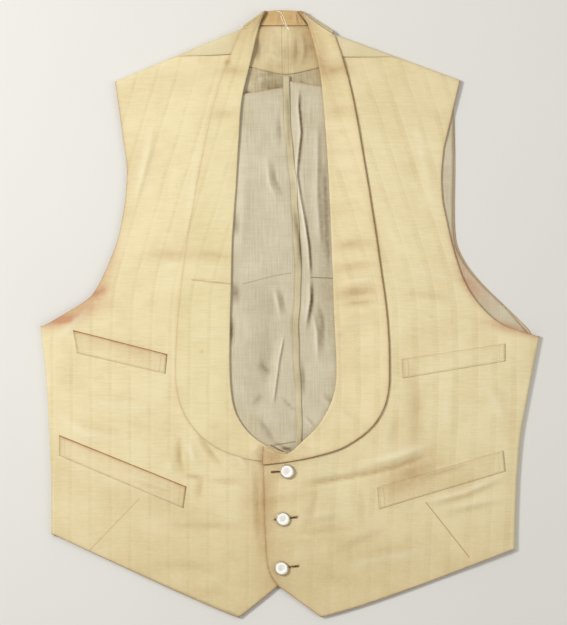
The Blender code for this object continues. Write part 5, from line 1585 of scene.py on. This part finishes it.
for b in BUTTONS:
    low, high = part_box(f"setting_{b.name}")
    foot, top = low.z / MM, high.z / MM
    base = top - RIM_HEIGHT
    inside = BUTTON_RADIUS - RIM_WIDTH
    setting = [
        (0, base + SEAT_HEIGHT), (inside, base + SEAT_HEIGHT),
        *rounded_corner((BUTTON_RADIUS - RIM_WIDTH / 2, top - RIM_WIDTH / 2), RIM_WIDTH / 2, 180, 0),
        (BUTTON_RADIUS, base + RIM_WIDTH), *rounded_corner((inside, base + RIM_WIDTH), RIM_WIDTH, 0, -90),
        (SHANK_RADIUS * 2, base), (SHANK_RADIUS, base - 0.4), (SHANK_RADIUS, foot), (0, foot),
    ]
    seat = base + SEAT_HEIGHT + 0.05
    edge = inside - 0.12
    crown = seat + PEARL_HEIGHT
    pearl = [(edge * t, crown - DISH * (1 - float(smooth((t - 0.42) / 0.24))))
             for t in np.linspace(0, 0.9, 19)]
    pearl += rounded_corner((edge - 0.45, crown - 0.45), 0.45, 75, 0, 5) + [(edge, seat), (0, seat)]
    pieces[f"setting_{b.name}"] = turned(f"setting_{b.name}_turned", setting, (b.x, b.y), FINISHES["metal"])
    pieces[f"pearl_{b.name}"] = turned(f"pearl_{b.name}_turned", pearl, (b.x, b.y), FINISHES["pearl"])
print("buttons turned:", len(BUTTONS))

# %% [markdown]
# ## Riding
# The garment is one rigid body in the CAD, so every piece rides on "root", and the CAD solid that each piece
# replaces is hidden.

# %% Attach every piece
RESTS_ON = {
    "back_left": ["floor"], "back_right": ["floor"], "lining_left": ["back_left_cloth"],
    "lining_right": ["back_right_cloth"], "upper_lining": ["back_left_cloth", "back_right_cloth"],
    "neck_facing": ["upper_lining_cloth"],
    "front_right": ["lining_right_cloth"], "front_left": ["lining_left_cloth", "front_right_cloth"],
    "collar_right": ["front_right_cloth"], "collar_left": ["front_left_cloth"],
    "collar_stand": ["collar_left_cloth", "collar_right_cloth"],
}
floor_mesh = bpy.data.meshes.new("floor")
reach, level = 3.0, -0.0003  # m: far past the picture, and just under the cloth
floor_mesh.from_pydata([(-reach, -reach, level), (reach, -reach, level), (reach, reach, level),
                        (-reach, reach, level)], [], [(0, 1, 2, 3)])
floor = bpy.data.objects.new("floor", floor_mesh)
bpy.context.scene.collection.objects.link(floor)
paper, paper_tree, paper_shader = new_material("matt_paper_floor", 0.95)
grain_noise = add(paper_tree, "TexNoise", output="Fac", Scale=40.0, Detail=2.0)
paper_tree.links.new(tinted(paper_tree, grain_noise, linear("#DEDCD6"), linear("#DAD8D2")),
                     paper_shader.inputs["Base Color"])
floor_mesh.materials.append(paper)
floor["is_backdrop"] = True
for name, piece in pieces.items():
    family = name.split("_")[0]
    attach(piece, "root")
    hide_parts(name)
    if name in RESTS_ON or family == "welt":
        width, length, area = cut_sizes[piece.name]
for thread in holes + sewing:
    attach(thread, "root")
print("sheets:", len(cut_sizes))

# %% Measure the scene
low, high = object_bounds()
print("visual size in mm:", [round(s / MM, 1) for s in high - low])
